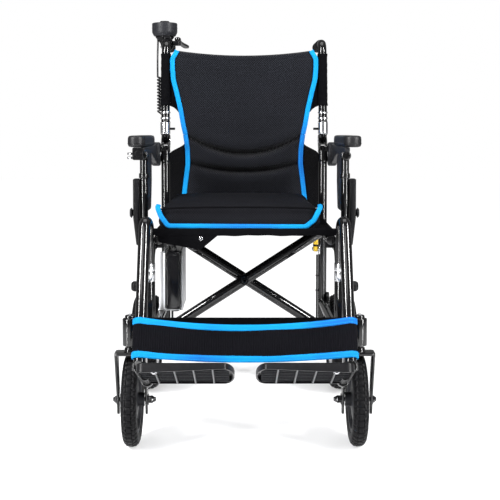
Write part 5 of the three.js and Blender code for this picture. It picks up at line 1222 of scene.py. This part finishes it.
def makeGrip(side, way, body):
    # along the handle, the radius swells at both ends and carries shallow rings between
    h = handle
    start, end = h["gripStart"], h["gripStart"] + h["gripLength"]
    along = np.linspace(start, end - 0.003, 220)
    share = (along - start) / (end - start)
    ringed = (share > 0.12) & (share < 0.88)
    rings = 0.0007 * np.clip(np.sin(2 * math.pi * share * 15) * 1.6, -1, 1) * ringed
    swell = 0.0006 * np.exp(-(share / 0.05) ** 2) + 0.0006 * np.exp(-((share - 0.93) / 0.05) ** 2)
    radius = h["grip"] - 0.0012 + rings + swell
    cap = np.linspace(0, math.pi / 2, 8)[1:]
    along = np.concatenate([along, end - 0.003 + 0.003 * np.sin(cap)])
    radius = np.concatenate([radius, radius[-1] - 0.003 + 0.003 * np.cos(cap)])
    direction = unit(np.array([h["endX"] - h["topX"], h["endY"] - chair["caneY"], 0]))
    middle = np.array([h["topX"], chair["caneY"], h["z"]]) + direction * (along - chair["caneY"])[:, None]
    makePiece(f"{side}_hand_grip", [tubeShape(middle, radius, 56, ref=(0, 0, 1))], "gripRubber", body,
              [f"{side}_grip"], way)


for side, way in sides.items():
    makeSideFrame(side, way)
    makeCasterWheel(side)
    makeDriveWheel(side, way)
    makeFork(side, way)
    makeHanger(side, way)
    makeFootplate(side, way)
    makeArmrest(side, way)
    makeHandle(side, way)
print("both sides ready")

# Scissor braces with their seat rails
scissor = {"highZ": 0.447, "arm": 0.0125, "rail": 0.011, "boss": 0.012, "ends": (-0.146, 0.300),
           "boltZ": 0.3285}


def makeBrace(side, way):
    s, pivot = scissor, sideFrame["pivot"]
    y = pivot["ys"][side]
    foot, head = np.array((way * pivot["x"], y, pivot["z"])), np.array((-way * pivot["x"], y, s["highZ"]))
    arm = tubeShape([foot, head], s["arm"], 44, ref=(0, 1, 0))
    boss = bandShape((0.0056, s["boss"]), (-s["boss"], s["boss"]), "y", foot, 44, 0.0012, 4)
    front, rear = s["ends"]
    rail = rodShape("y", head[::2], s["ends"], s["rail"], 40, 0.0015)
    caps = [rodShape("y", head[::2], ends, s["rail"] - 0.001, 32, 0.001)
            for ends in ((front - 0.0022, front + 0.004), (rear - 0.004, rear + 0.003))]
    makePiece(f"{side}_brace_arm", [arm, boss, rail, *caps], "paintedTube", f"{side}_brace",
              [f"{side}_brace"])


for side, way in sides.items():
    makeBrace(side, way)
low, high = boxOf("brace_bolt")
boltZ = scissor["boltZ"]
crossBolt = [rodShape("y", (0, boltZ), (low[1] + 0.004, high[1] - 0.004), 0.005, 24)]
crossBolt += boltShape((0, low[1] + 0.005, boltZ), "y", 0.0068, 0.0048, -1)
crossBolt += boltShape((0, high[1] - 0.005, boltZ), "y", 0.0068, 0.0048, 1)
makePiece("cross_bolt", crossBolt, "glossPlastic", "right_brace", ["brace_bolt"])
crossBoltEnds = rodShape("y", (0, boltZ), (low[1] + 0.0002, high[1] - 0.0002), 0.0032, 20, 0.0008)
makePiece("cross_bolt_ends", [crossBoltEnds], "steel", "right_brace")
print("scissor ready")

# Battery, its cradle and its cable
battery = {"inner": 0.153, "width": 0.038, "footZ": 0.2496, "topZ": 0.390, "y": (0.128, 0.312), "neck": 0.010,
           "neckZ": 0.230, "cradle": 0.003}


def makeBattery():
    b = battery
    x0, x1 = b["inner"], b["inner"] + b["width"]
    y0, y1 = b["y"]
    shell = plateShape(roundRect(x0, x1, b["footZ"], b["topZ"], 0.007, 8), "y", y0, y1, 0.003, 5)
    ribs = [plateShape(roundRect(x0 + 0.005, x1 - 0.005, b["footZ"] + 0.010, b["topZ"] - 0.012, 0.004, 5),
                       "y", y0 - 0.0012, y0 + 0.002, 0.0008)]
    lid = plateShape(roundRect(x0 + 0.002, x1 - 0.002, y0 + 0.004, y1 - 0.004, 0.005, 6), "z",
                     b["topZ"] - 0.001, b["topZ"] + 0.0014, 0.001)
    middle, middleY = (x0 + x1) / 2, (y0 + y1) / 2
    neck = rodShape("z", (middle, middleY), (b["neckZ"], b["footZ"] + 0.002), b["neck"], 36, 0.0015)
    makePiece("battery_case", [shell, *ribs, lid, neck], "glossPlastic", "right_frame", ["right_battery"], -1)
    front, rear = y0 + 0.012, y1 - 0.012
    floorZ = b["footZ"] - 0.0043
    gap, wall = clearance, b["cradle"]
    walls = [blockShape((x0 - gap - wall, front, floorZ), (x0 - gap, rear, b["topZ"]), 0.0008),
             blockShape((x1 + gap, front, floorZ), (x1 + gap + wall, rear, b["topZ"]), 0.0008),
             blockShape((x0 - gap - wall, front, floorZ), (0.2085, middleY - 0.012, floorZ + 0.004), 0.0008),
             blockShape((x0 - gap - wall, middleY + 0.012, floorZ), (0.2085, rear, floorZ + 0.004), 0.0008)]
    edges = [rodShape("z", (x, front - gap), (floorZ + 0.004, b["topZ"] - 0.004), 0.0024, 20, 0.0008)
             for x in (x0 - gap - wall / 2, x1 + gap + wall / 2)]
    flange = blockShape((x1 + gap, front - 0.0006, floorZ + 0.002),
                        (x1 + gap + 0.0145, front + 0.0014, b["topZ"] - 0.002), 0.0006)
    makePiece("battery_tray", [*walls, *edges, flange], "aluminium", "right_frame", ["right_battery_cradle"],
              -1)


batteryCable = [(0.16567, 0.140, 0.3903), (0.16567, 0.140, 0.402), (0.187, 0.180, 0.402),
                (0.187, 0.332, 0.402), (0.187, 0.332, 0.184), (0.187, 0.3625, 0.153), (0.2117, 0.3625, 0.153)]
clutchCable = [(0.1892, 0.332, 0.358), (0.1892, 0.332, 0.184), (0.1892, 0.3625, 0.153),
               (0.2117, 0.3625, 0.153)]


def makeHeldCable(name, points, radius, node, body, way, ties=()):
    path = rounded(points, 0.010, 10)
    tangent = unit(np.gradient(path, axis=0))
    lean = np.where(np.abs(tangent[:, 2:]) > 0.7, np.array([[1.0, 0.2, 0]]), np.array([[0.2, 0.1, 1.0]]))
    cable = tubeShape(path, radius, 16, ref=lean)
    drop = (*points[-3][:2], 0)
    bands = [bandShape((radius + 0.0001, radius + 0.0011), (z, z + 0.004), "z", drop, 24, 0.0004, 2)
             for z in ties]
    makePiece(name, [cable, *bands], "cableSkin", body, [node], way, sharp=60)


makeBattery()
makeHeldCable("battery_lead", batteryCable, 0.003, "right_battery_cable", "right_frame", -1,
              (0.22, 0.29, 0.35))
makeHeldCable("clutch_lead", clutchCable, 0.0025, "left_clutch_cable", "left_frame", 1, (0.2625, 0.3015))
print("battery ready")

# Attendant's control on the right handle, and the clutch lever
control = {"x": 0.208, "y": 0.396, "footZ": 0.926, "height": 0.034, "radius": 0.033, "clampY": 0.376,
           "dial": 0.012, "dialHeight": 0.005, "lever": ((0.173, 0.376), (0.156, 0.470)), "leverZ": 0.9133,
           "leverHeight": 0.007, "fall": 12 / 94}


def makeControl():
    c = control
    r, z0, z1 = c["radius"], c["footZ"], c["footZ"] + c["height"]
    shell = turnedShape(rounded([
        (0, z0), (r * 0.85, z0), (r * 0.985, z0 + 0.0085), (r * 0.985, z0 + 0.0095), (r, z0 + 0.0100),
        (r, z1), (r * 0.5, z1), (r * 0.47, z1 - 0.0006), (0, z1 - 0.0006)],
        [0, 0.002, 0.001, 0.0004, 0.0004, 0.0028, 0.0005, 0.0005, 0], 5), "z", (c["x"], c["y"], 0), 96)
    groove = turnedShape(rounded([(r - 0.001, z0 + 0.0205), (r + 0.0005, z0 + 0.0207),
                                  (r + 0.0005, z0 + 0.0222),
                                  (r - 0.001, z0 + 0.0224)], 0.0004, 2, closed=True), "z",
                         (c["x"], c["y"], 0), 96, closed=True)
    makePiece("control_case", [shell, groove], "greyPlastic", "right_back", ["right_control_housing"], -1)
    knobZ = z1 + clearance
    dial = turnedShape(rounded([(0, knobZ), (c["dial"], knobZ), (c["dial"], knobZ + c["dialHeight"]),
                                (0, knobZ + c["dialHeight"])], [0, 0.0008, 0.0018, 0], 5), "z",
                       (c["x"], c["y"], 0), 56)
    pointer = blockShape((c["x"] - 0.0009, c["y"] - 0.0105, knobZ + c["dialHeight"] - 0.0006),
                         (c["x"] + 0.0009, c["y"] - 0.002, knobZ + c["dialHeight"] - 0.0001), 0.0003)
    notch = blockShape((c["dial"] - 0.0006, -0.0006, knobZ + 0.0009),
                       (c["dial"] + 0.0003, 0.0006, knobZ + 0.0033), 0.0003)
    notches = allRound(notch, 24, "z", (c["x"], c["y"], 0))
    makePiece("speed_dial", [dial, *notches], "blackPlastic", "control_dial", ["right_control_dial"], -1)
    makePiece("speed_mark", [pointer], "steel", "control_dial", mirror=-1)
    makeControlClamp()


def makeControlClamp():
    c, h = control, handle
    share = (c["clampY"] - chair["caneY"]) / (h["endY"] - chair["caneY"])
    x = h["topX"] + (h["endX"] - h["topX"]) * share
    wall = chair["tube"] + 0.0056
    band = bandShape((chair["tube"] + clearance, wall), (-0.008, 0.008), "y", (x, c["clampY"], h["z"]), 56,
                     0.0012, 4)
    top = c["footZ"] - clearance
    mast = blockShape((x - 0.009, c["clampY"] - 0.008, h["z"] + 0.012),
                      (x + 0.009, c["clampY"] + 0.008, top - 0.002), 0.0015)
    table = plateShape(roundRect(x - 0.009, c["x"] + 0.009, c["clampY"] - 0.008, c["y"] + 0.018, 0.006, 8),
                       "z", top - 0.005, top, 0.0012)
    lug = plateShape(linkOutline((0.173, c["clampY"]), (x, c["clampY"]), 0.008, 12), "z", 0.900, 0.912, 0.001)
    screwSide = boltShape((x + wall - 0.001, c["clampY"], h["z"] - 0.006), "x", 0.0034, 0.003)
    pin = rodShape("z", (0.173, c["clampY"]), (0.904, 0.9222), 0.004, 24, 0.0008)
    cone = turnedShape(rounded([(0, 0.9005), (0.010, 0.9005), (0.012, 0.908), (0.0255, top - 0.001),
                                (0, top - 0.001)],
                               [0, 0.002, 0.006, 0.001, 0], 5), "z", (c["x"], c["y"] + 0.004, 0), 56)
    makePiece("control_bracket", [band, mast, table, lug, cone, pin], "blackPlastic", "right_back",
              ["right_control_clamp"], -1)
    makePiece("control_screws", screwSide, "steel", "right_back", mirror=-1)
    foot, tip = c["lever"]
    z = c["leverZ"]
    t = np.linspace(0, 1, 30)[:, None]
    foot, tip, bow = np.array(foot), np.array(tip), np.array([[0.004, 0]])
    line = foot + (tip - foot) * t + bow * np.sin(math.pi * t)
    heading = unit(np.gradient(line, axis=0))
    offset = np.stack([-heading[:, 1], heading[:, 0]], 1)
    half = 0.0078 - 0.0022 * np.sin(math.pi * np.clip(t * 1.3 - 0.1, 0, 1)) * (t < 0.87)
    outline = np.concatenate([line + offset * half, (line - offset * half)[::-1]])
    high = z + c["leverHeight"]
    blade = plateShape(rounded(outline, 0.0, 1, closed=True), "z", z, high, 0.0018, 4)
    endCaps = [turnedShape(rounded([(0, z), (0.0078, z), (0.0078, high), (0, high)], [0, 0.0018, 0.0018, 0],
                                   4),
                           "z", (*place, 0), 32) for place in (foot, tip)]
    makePiece("brake_blade", moved([blade, *endCaps], fallen), "paintedTube", "brake_lever",
              ["right_brake_lever"], -1)


def fallen(points):
    # z falls evenly with the distance behind the pin
    return points - np.array([0, 0, 1]) * ((points[:, 1:2] - control["clampY"]) * control["fall"])


clutch = {"pinZ": 0.372, "head": 0.006, "shaft": 0.004, "pinEnd": 0.195, "stop": (0.1925, 0.1960),
          "stopHalf": 0.012}


def makeClutch():
    k = clutch
    low, high = boxOf("left_clutch_lever")
    y = (low[1] + high[1]) / 2
    paddle = plateShape(rounded([
        (y - 0.008, low[2] + 0.002), (y + 0.008, low[2] + 0.002), (y + 0.0062, low[2] + 0.022),
        (y + 0.008, high[2] - 0.008), (y, high[2]), (y - 0.008, high[2] - 0.008),
        (y - 0.0062, low[2] + 0.022)],
        [0.007, 0.007, 0.01, 0.005, 0.006, 0.005, 0.01], 6, closed=True), "x", low[0], high[0], 0.0022, 4)
    ribs = [blockShape((low[0] + 0.001, y - 0.0086, z), (high[0] - 0.001, y - 0.007, z + 0.0016), 0.0005)
            for z in np.linspace(high[2] - 0.020, high[2] - 0.009, 4)]
    makePiece("clutch_paddle", [paddle, *ribs], "yellowPlastic", "clutch_lever", ["left_clutch_lever"])
    band = blockShape((low[0] - 0.0005, y - 0.0088, low[2] + 0.016),
                      (high[0] + 0.0002, y + 0.0088, low[2] + 0.021), 0.0008)
    makePiece("clutch_band", [band], "blackPlastic", "clutch_lever")
    z, inner = k["pinZ"], low[0]
    head, shaft, end = k["head"], k["shaft"], k["pinEnd"]
    face = inner - clearance
    pin = turnedShape(rounded([(0, face - 0.003), (head, face - 0.003), (head, face), (shaft, face),
                               (shaft, end),
                               (0, end)], [0, 0.001, 0.0004, 0.0004, 0.0004, 0], 3), "x", (0, y, z), 28)
    x0, x1 = k["stop"]
    stop = blockShape((x0, y - k["stopHalf"], z - k["stopHalf"]), (x1, y + k["stopHalf"], z + k["stopHalf"]),
                      0.001)
    makePiece("clutch_bolt", [pin, stop], "steel", "left_frame")


padClamp = {"inner": -0.225, "outer": -0.249, "bars": (0.6187, 0.6277), "bar": 0.0025, "boss": 0.0075}


def makePadClamp():
    p = padClamp
    low, high = boxOf("right_pad_clamp")
    middleY, middleZ = (low[1] + high[1]) / 2, (low[2] + high[2]) / 2
    body = plateShape(roundRect(p["outer"], p["inner"], low[2], high[2], 0.004, 6), "y", low[1] + 0.0015,
                      high[1], 0.002, 4)
    boss = turnedShape(rounded([(0, 0.004), (p["boss"], 0.004), (p["boss"], 0), (0, 0)],
                               [0, 0.001, 0.0012, 0], 4), "y",
                       ((p["inner"] + p["outer"]) / 2 + 0.001, low[1], middleZ), 36)
    makePiece("pad_bracket", [body, boss], "blackPlastic", "right_arm", ["right_pad_clamp"])
    bars = [rodShape("x", (middleY, z), (p["outer"] + 0.002, low[0]), p["bar"], 24, 0.0008)
            for z in p["bars"]]
    makePiece("pad_bracket_bars", bars, "glossPlastic", "right_arm")
    bands = [rodShape("x", (middleY, z), (p["outer"] - 0.003, low[0] + 0.003), p["bar"] + 0.0003, 24, 0.0004)
             for z in p["bars"]]
    makePiece("pad_bracket_bands", bands, "aluminium", "right_arm")


makeControl()
makeClutch()
makePadClamp()
print("control ready")

# Upholstery
back = {
    "footZ": 0.480, "topZ": 0.884, "dip": 0.012, "faceY": 0.324, "cloth": 0.004, "padding": 0.020,
    "sag": 0.014,
    "clothHalf": 0.1915, "channelZ": 0.620, "channelSmile": 0.050, "lowZ": 0.574, "lowSmile": 0.026,
    "channelDepth": 0.013, "channelHalf": 0.0075, "bulge": 0.0045, "columns": 180, "hemZ": 0.868,
    "waist": [(0, 0.85), (0.205, 0.799), (0.282, 0.778), (0.378, 0.783)],
    "shoulder": [(0.471, 0.809), (0.527, 0.836), (0.629, 0.872), (0.738, 0.924), (0.815, 0.966),
                 (0.886, 0.9765), (0.951, 0.9765), (1, 0.909)],
    "wings": [(0, 1), (0.357, 1), (0.406, 0.794)],
}


def backHalves(table, z):
    # half width over height, in smooth steps between the table's shares
    up, across = np.array(table).T
    share = (z - back["footZ"]) / (back["topZ"] - back["footZ"])
    fine = np.linspace(0, 1, 400)
    line = np.interp(fine, up, across)
    kernel = np.hanning(21)
    smooth = np.convolve(np.pad(line, 10, mode="edge"), kernel / kernel.sum(), "valid")
    return np.interp(share, fine, smooth) * back["clothHalf"]


def paddingHalf(z):
    return backHalves(back["waist"] + back["shoulder"], z)


def clothHalf(z):
    return backHalves(back["wings"] + back["shoulder"], z)


def channelAt(across):
    z = np.full_like(across, back["channelZ"])
    for _ in range(12):
        inPadding = np.minimum(np.abs(across) * clothHalf(z) / paddingHalf(z), 1)
        z = back["channelZ"] + back["channelSmile"] * inPadding ** 2
    return z


def backFace(across, z, x=None):
    # y = face + sag * (1 - across^2) - (padding - channels) * (1 - p^4), p the share of the padded width
    b = back
    x = across * clothHalf(z) if x is None else x
    p = np.minimum(np.abs(x) / paddingHalf(z), 1)
    reach = channelReach(z, p)
    groove = np.exp(-(reach / b["channelHalf"]) ** 2) * b["channelDepth"]
    swell = b["bulge"] * (np.exp(-((reach - 0.024) / 0.017) ** 2) - 0.4) \
        + 0.0010 * np.sin((z - b["footZ"]) * 34 + 0.6) * np.cos(x * 7)
    ripple = 0.0007 * np.sin(x * 85 + 2.2 * np.sin(z * 31)) * np.exp(-((z - 0.880) / 0.03) ** 2)
    padding = (b["padding"] - groove + swell) * (1 - p ** 4)
    hem = 0.0012 * np.exp(-((z - b["hemZ"]) / 0.0022) ** 2) * (p < 1)
    return x, b["faceY"] + b["sag"] * (1 - across ** 2) - np.maximum(padding, 0) + ripple + hem


def channelReach(z, p):
    # height above or below the nearer of the two channels, which smile by smile * p^2
    b = back
    return np.minimum(np.abs(z - b["channelZ"] - b["channelSmile"] * p ** 2),
                      np.abs(z - b["lowZ"] - b["lowSmile"] * p ** 2))


def makeBackPanel(name, foot, top, dip, rows, body, node):
    b = back
    reach = math.pi / 2 * 0.999
    across = np.sin(np.linspace(-1, 1, b["columns"] + 1) * reach) / math.sin(reach)
    v = np.linspace(0, 1, rows + 1)[:, None]
    z = foot(across)[None] + v * (top(across) - foot(across))[None]
    wide = np.broadcast_to(across, z.shape)
    x, faceY = backFace(wide, z)
    rearY = back["faceY"] + back["sag"] * (1 - wide ** 2) + back["cloth"]
    edge = np.minimum(1, np.minimum(v, 1 - v) * (z[-1:] - z[:1]) / 0.006)
    soft = np.sqrt(np.clip(edge * (2 - edge), 0, 1))
    middleY = rearY - back["cloth"] / 2
    openTop = np.where(v > 0.5, soft, 1.0) if dip > 0 else np.ones_like(soft)
    openFoot = np.where(v < 0.5, soft, 1.0) if dip == 0 else np.ones_like(soft)
    keep = openTop * openFoot
    faceY = middleY + (faceY - middleY) * keep
    rearY = middleY + (rearY - middleY) * keep
    z = z - dip * v * (1 - wide ** 2)
    shape = sheetShape(np.stack([x, faceY, z], -1), np.stack([x, rearY, z], -1))
    panel = makePiece(name, [shape], "spacerMesh", body, [node], sharp=80)
    at = readPoints(panel.data)
    height = at[:, 2] + (dip * np.clip((at[:, 2] - b["channelZ"]) / (b["topZ"] - b["channelZ"]), 0, 1)
                         * (1 - (at[:, 0] / b["clothHalf"]) ** 2))
    p = np.abs(at[:, 0]) / paddingHalf(height)
    # painted shade: the channels and the cloth beyond the padding are darkened towards the deep colour
    paintShadeOf(panel, np.maximum(np.exp(-(channelReach(height, np.minimum(p, 1)) / 0.0065) ** 2) * 0.92,
                               np.clip((p - 0.99) / 0.03, 0, 1)))
    squashed.append((panel, "back"))
    return panel


squashed = []


def makeBack():
    b = back
    makeBackPanel("back_upper_panel", lambda a: channelAt(a) + 0.0002, lambda a: np.full_like(a, b["topZ"]),
                  b["dip"], 110, "right_back", "back_upper")
    makeBackPanel("back_lower_panel", lambda a: np.full_like(a, b["footZ"]), lambda a: channelAt(a) - 0.0002,
                  0, 90, "right_frame", "back_lower")
    makeBackWebs()
    seam = float(channelAt(np.array([1.0]))[0])
    for name, z0, z1, body in (("upper", seam + 0.0004, b["topZ"], "right_back"),
                               ("lower", b["footZ"] + 0.003, seam - 0.0004, "right_frame")):
        ribbons = []
        for way in (-1, 1):
            z = np.linspace(z0, z1, 70)
            half = paddingHalf(z)
            x = way * (half - 0.004)
            share = x / clothHalf(z)
            channel = channelAt(np.abs(share))
            dip = b["dip"] * (z - channel) / (b["topZ"] - channel) * (1 - share ** 2)
            y = b["faceY"] + b["sag"] * (1 - share ** 2) - 0.0042
            path = np.stack([x, y, z - (dip if name == "upper" else 0)], 1)
            ribbons.append(ribbonShape(path, np.tile((way * 0.25, -1, 0), (len(z), 1)), 0.0125, 0.0062))
        piece = makePiece(f"back_{name}_binding", ribbons, "azureBinding", body, sharp=60)
        ribbonCoordinates(piece.data, 20)
        squashed.append((piece, "back"))


def makeBackWebs():
    # thin cloth between the panel's edge and the sleeve; its foot is an arch that drops towards the panel
    v, w = np.meshgrid(np.linspace(0, 1, 40), np.linspace(0, 1, 16), indexing="ij")
    for side, way in sides.items():
        low = 0.742 - 0.026 * (1 - w) ** 2
        z = low + (0.870 - low) * v
        inner = np.minimum(paddingHalf(z) - 0.003, 0.1885)
        x = inner + (0.1895 - inner) * w
        y = 0.3285 + 0.0025 * w + 0.0012 * np.sin(z * 60 + w * 3) * np.sin(math.pi * w)
        shape = sheetShape(np.stack([x * way, y, z], -1), np.stack([x * way, y + 0.0018, z], -1))
        web = makePiece(f"back_{side}_web", [shape], "canvas", "right_back", sharp=60)
        squashed.append((web, "back"))


def paintShadeOf(piece, values):
    layer = piece.data.attributes.new("paintedShade", "FLOAT", "POINT")
    layer.data.foreach_set("value", np.asarray(values, np.float32))


def ribbonCoordinates(mesh, sidesCount):
    # u is the sum of a point's distances from the three planes, v the share across
    points, corners = readPoints(mesh), cornersOf(mesh)
    order = np.arange(len(points)) % sidesCount
    across = 0.5 + 0.5 * np.cos(2 * math.pi * order / sidesCount)
    keepCoordinates(mesh, "ribbon", np.stack([np.abs(points).sum(1)[corners], across[corners]], 1))


cushion = {"x": -0.012, "half": 0.178, "y": (-0.136, 0.284), "footZ": 0.4626, "rim": 0.016,
           "thickness": 0.054,
           "crown": 0.007, "tuck": 0.014, "voxel": 0.005, "cap": 0.006, "pressure": 4.0, "frames": 20}


def makeCushion():
    # z = foot + rim + (thickness - rim) * sqrt((1 - u^24)(1 - v^10)) + crown * (1 - u^2)(1 - v^2), and
    # the sides draw in towards the foot by the tuck
    c = cushion
    n = 60
    u = np.sin(np.linspace(-1, 1, n + 1) * math.pi / 2)
    across, deep = np.meshgrid(u, u, indexing="xy")
    full = np.sqrt(np.clip((1 - across ** 24) * (1 - deep ** 10), 0, 1))
    front, rear = c["y"]
    x = c["x"] + across * c["half"]
    y = (front + rear) / 2 + deep * (rear - front) / 2
    top = c["footZ"] + c["rim"] + (c["thickness"] - c["rim"]) * full \
        + c["crown"] * (1 - across ** 2) * (1 - deep ** 2)
    face = np.stack([x, y, top], -1)
    under = np.stack([x - across * c["tuck"], y, np.full_like(x, c["footZ"])], -1)
    count = (n + 1) ** 2
    quads = gridFaces(n + 1, n + 1, closeColumns=False)
    below = [[count + k for k in quad[::-1]] for quad in quads]
    rim = np.concatenate([np.arange(n + 1), np.arange(1, n + 1) * (n + 1) + n,
                          np.arange(n - 1, -1, -1) + n * (n + 1), np.arange(n - 1, 0, -1) * (n + 1)])
    after = np.roll(rim, -1)
    wall = np.stack([rim, rim + count, after + count, after], 1).tolist()
    shape = np.concatenate([face.reshape(-1, 3), under.reshape(-1, 3)]), quads + below + wall
    piece = makePiece("seat_pad", [shape], "seatMesh", "seat", ["seat_cushion"], sharp=75)
    inflate(piece, c)
    squashed.append((piece, "seat"))
    return piece


def inflate(piece, look):
    # the mesh is remeshed evenly, blown up as cloth under pressure, and no point moves further than the cap
    bpy.context.view_layer.objects.active = piece
    remesh = piece.modifiers.new("remesh", "REMESH")
    remesh.mode = "VOXEL"
    remesh.voxel_size = look["voxel"]
    applyModifiers(piece)
    before = readPoints(piece.data)
    cloth = piece.modifiers.new("cloth", "CLOTH")
    cloth.settings.use_pressure = True
    cloth.settings.uniform_pressure_force = look["pressure"]
    cloth.settings.quality = 5
    cloth.settings.tension_stiffness = 12
    cloth.settings.bending_stiffness = 0.6
    cloth.settings.effector_weights.gravity = 0
    cloth.point_cache.frame_start, cloth.point_cache.frame_end = 1, look["frames"]
    for step in range(1, look["frames"] + 1):
        scene.frame_set(step)
    shaped = piece.evaluated_get(bpy.context.evaluated_depsgraph_get())
    after = readPoints(shaped.data)
    piece.modifiers.remove(cloth)
    scene.frame_set(1)
    step = after - before
    length = np.linalg.norm(step, axis=1, keepdims=True)
    capped = before + step * np.minimum(1, look["cap"] / np.maximum(length, 1e-9))
    capped[:, 2] = np.maximum(capped[:, 2], look["footZ"])
    piece.data.vertices.foreach_set("co", capped.astype(np.float32).ravel())
    smooth = piece.modifiers.new("smooth", "SUBSURF")
    smooth.levels = smooth.render_levels = 1
    applyModifiers(piece)
    piece.data.shade_smooth()
    boxCoordinates(piece.data)


def applyModifiers(piece):
    shaped = piece.evaluated_get(bpy.context.evaluated_depsgraph_get())
    made = bpy.data.meshes.new_from_object(shaped)
    made.name = piece.data.name
    piece.modifiers.clear()
    piece.data = made


def makeSeatBinding():
    # down one front corner of the cushion, along its front, and up the other; a welt follows the top edge
    c = cushion
    front, foot, top = c["y"][0], c["footZ"] + 0.013, c["footZ"] + c["thickness"] + 0.004
    left, right = c["x"] - c["half"], c["x"] + c["half"]
    corners = [(left + 0.004, front + 0.020, top - 0.003), (left + 0.003, front + 0.006, top - 0.006),
               (left + 0.010, front + 0.001, foot + 0.022), (left + 0.026, front - 0.002, foot),
               (right - 0.036, front - 0.002, foot - 0.002), (right - 0.018, front + 0.001, foot + 0.012),
               (right - 0.004, front + 0.006, top - 0.006), (right - 0.004, front + 0.020, top - 0.003)]
    path = easedPath(rounded(corners, 0.010, 8), 3)
    outward = np.tile((0.0, -1.0, 0.15), (len(path), 1))
    binding = makePiece("seat_binding", [ribbonShape(path, outward, 0.0108, 0.0068)], "azureBinding", "seat",
                        sharp=60)
    ribbonCoordinates(binding.data, 20)
    x = np.linspace(left + 0.008, right - 0.008, 60)
    u = (x - c["x"]) / c["half"]
    weltZ = top - 0.0075 - 0.004 * u ** 8 + 0.002 * (1 - u ** 2)
    welt = np.stack([x, front + 0.0045 + 0.002 * u ** 8, weltZ], 1)
    seam = makePiece("seat_welt", [tubeShape(welt, 0.0021, 14, ref=(0, 0, 1))], "canvas", "seat", sharp=60)
    squashed.extend([(binding, "seat"), (seam, "seat")])


sling = {"half": 0.195, "y": (-0.150, 0.290), "z": (0.4583, 0.4623), "hem": (0.4563, 0.4723),
         "hemDepth": 0.0035,
         "gusset": [(-0.184, 0.4623), (-0.184, 0.4423), (-0.095, 0.425), (-0.050, 0.4623)]}


def makeSling():
    s = sling
    y0, y1 = s["y"]
    z0, z1 = s["z"]
    n, m = 90, 60
    x = np.linspace(-s["half"], s["half"], n + 1)[None]
    y = np.linspace(y0 + 0.001, y1, m + 1)[:, None]
    u, v = (x + s["half"]) / (2 * s["half"]), (y - y0) / (y1 - y0)
    droop = 0.0018 * np.sin(math.pi * u) * np.sin(math.pi * v)
    top = np.stack([x + 0 * y, y + 0 * x, z1 - droop], -1)
    under = np.stack([x + 0 * y, y + 0 * x, z0 - droop], -1)
    shape = sheetShape(top, under)
    t = np.linspace(0, 1, 60)
    hemX = -s["half"] + 2 * s["half"] * t
    wave = 0.0007 * np.sin(hemX * 52) + 0.0005 * np.sin(hemX * 131 + 1)
    low, high = s["hem"]
    outline = np.concatenate([np.stack([hemX, low + wave - 0.0006], 1),
                              np.stack([hemX, high + wave * 0.5 - 0.001], 1)[::-1]])
    hem = plateShape(outline, "y", y0 - 0.0002, y0 + s["hemDepth"], 0.0012)
    gusset = plateShape(rounded(s["gusset"], [0.003, 0.004, 0.008, 0.004], 6, closed=True), "y", y0 + 0.0004,
                        y0 + s["hemDepth"] - 0.0004, 0.0009)
    cloth = makePiece("seat_sling_cloth", [shape], "canvas", "seat", ["seat_sling"], sharp=60)
    edge = makePiece("seat_sling_hem", [hem, gusset], "canvas", "seat", sharp=60)
    eyelet = bandShape((0.0020, 0.0042), (-0.0006, 0.001), "y", (-0.093, y0 - 0.0002, 0.4500), 28, 0.0005)
    ring = makePiece("sling_eyelet", [eyelet], "steel", "seat")
    squashed.extend([(cloth, "seat"), (edge, "seat"), (ring, "seat")])


strap = {"x": 0.208, "inner": 0.013, "thickness": 0.0025, "z": (0.024, 0.104), "start": 130, "sweep": 220,
         "binding": 0.0135, "sags": (0.010, 0.016)}


def strapLine(radius):
    # round the left tube from its rear outer side to its front, across, and round the right tube
    angle = np.radians(strap["start"] - strap["sweep"] * np.linspace(0, 1, 28))
    left = np.stack([strap["x"] + radius * np.cos(angle), radius * np.sin(angle)], 1)
    bridge = np.linspace(left[-1], left[-1] * (-1, 1), 72)[1:-1]
    return np.concatenate([left, bridge, (left * (-1, 1))[::-1]])


def strapSag(x, up):
    # how far the strap hangs between the tubes: (foot sag + up * (top sag - foot sag)) * (1 - (x / tube)^2)
    foot, top = strap["sags"]
    return (foot + up * (top - foot)) * np.clip(1 - (x / strap["x"]) ** 2, 0, 1)


def makeStrap():
    s = strap
    outer, inner = strapLine(s["inner"] + s["thickness"]), strapLine(s["inner"])
    low, high = s["z"]
    v = np.linspace(0, 1, 33)[:, None]
    grids = []
    for line in (outer, inner):
        x, y = line.T[:, None]
        belly = 0.0016 * np.sin(math.pi * v) * np.sin(x * 30) * (np.abs(x) < s["x"] - 0.02)
        grids.append(np.stack([x + 0 * v, y - belly, low + (high - low) * v - strapSag(x, v)], -1))
    piece = makePiece("calf_strap_web", moved([sheetShape(*grids)], underHanger), "webbing", "right_hanger",
                      ["calf_strap"], sharp=60)
    middle = strapLine(s["inner"] + s["thickness"] / 2)
    outward = unit(np.gradient(middle, axis=0))
    normal = np.column_stack([-outward[:, 1], outward[:, 0], np.zeros(len(middle))])
    bands = []
    for name, z, up in (("top", high - s["binding"] / 2 + 0.0006, 0.92),
                        ("foot", low + s["binding"] / 2 - 0.0006, 0.08)):
        path = np.column_stack([middle, z - strapSag(middle[:, 0], up)])
        ribbon = ribbonShape(path, normal, s["binding"], s["thickness"] + 0.0026)
        bands.append(makePiece(f"calf_strap_{name}_binding", moved([ribbon], underHanger), "azureBinding",
                               "right_hanger", sharp=60))
        ribbonCoordinates(bands[-1].data, 20)
    squashed.extend((made, "strap") for made in (piece, *bands))


makeBack()
makeSling()
makeCushion()
makeSeatBinding()
makeStrap()
for piece, kind in squashed:
    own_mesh(piece)
print("upholstery ready")

low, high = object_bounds()
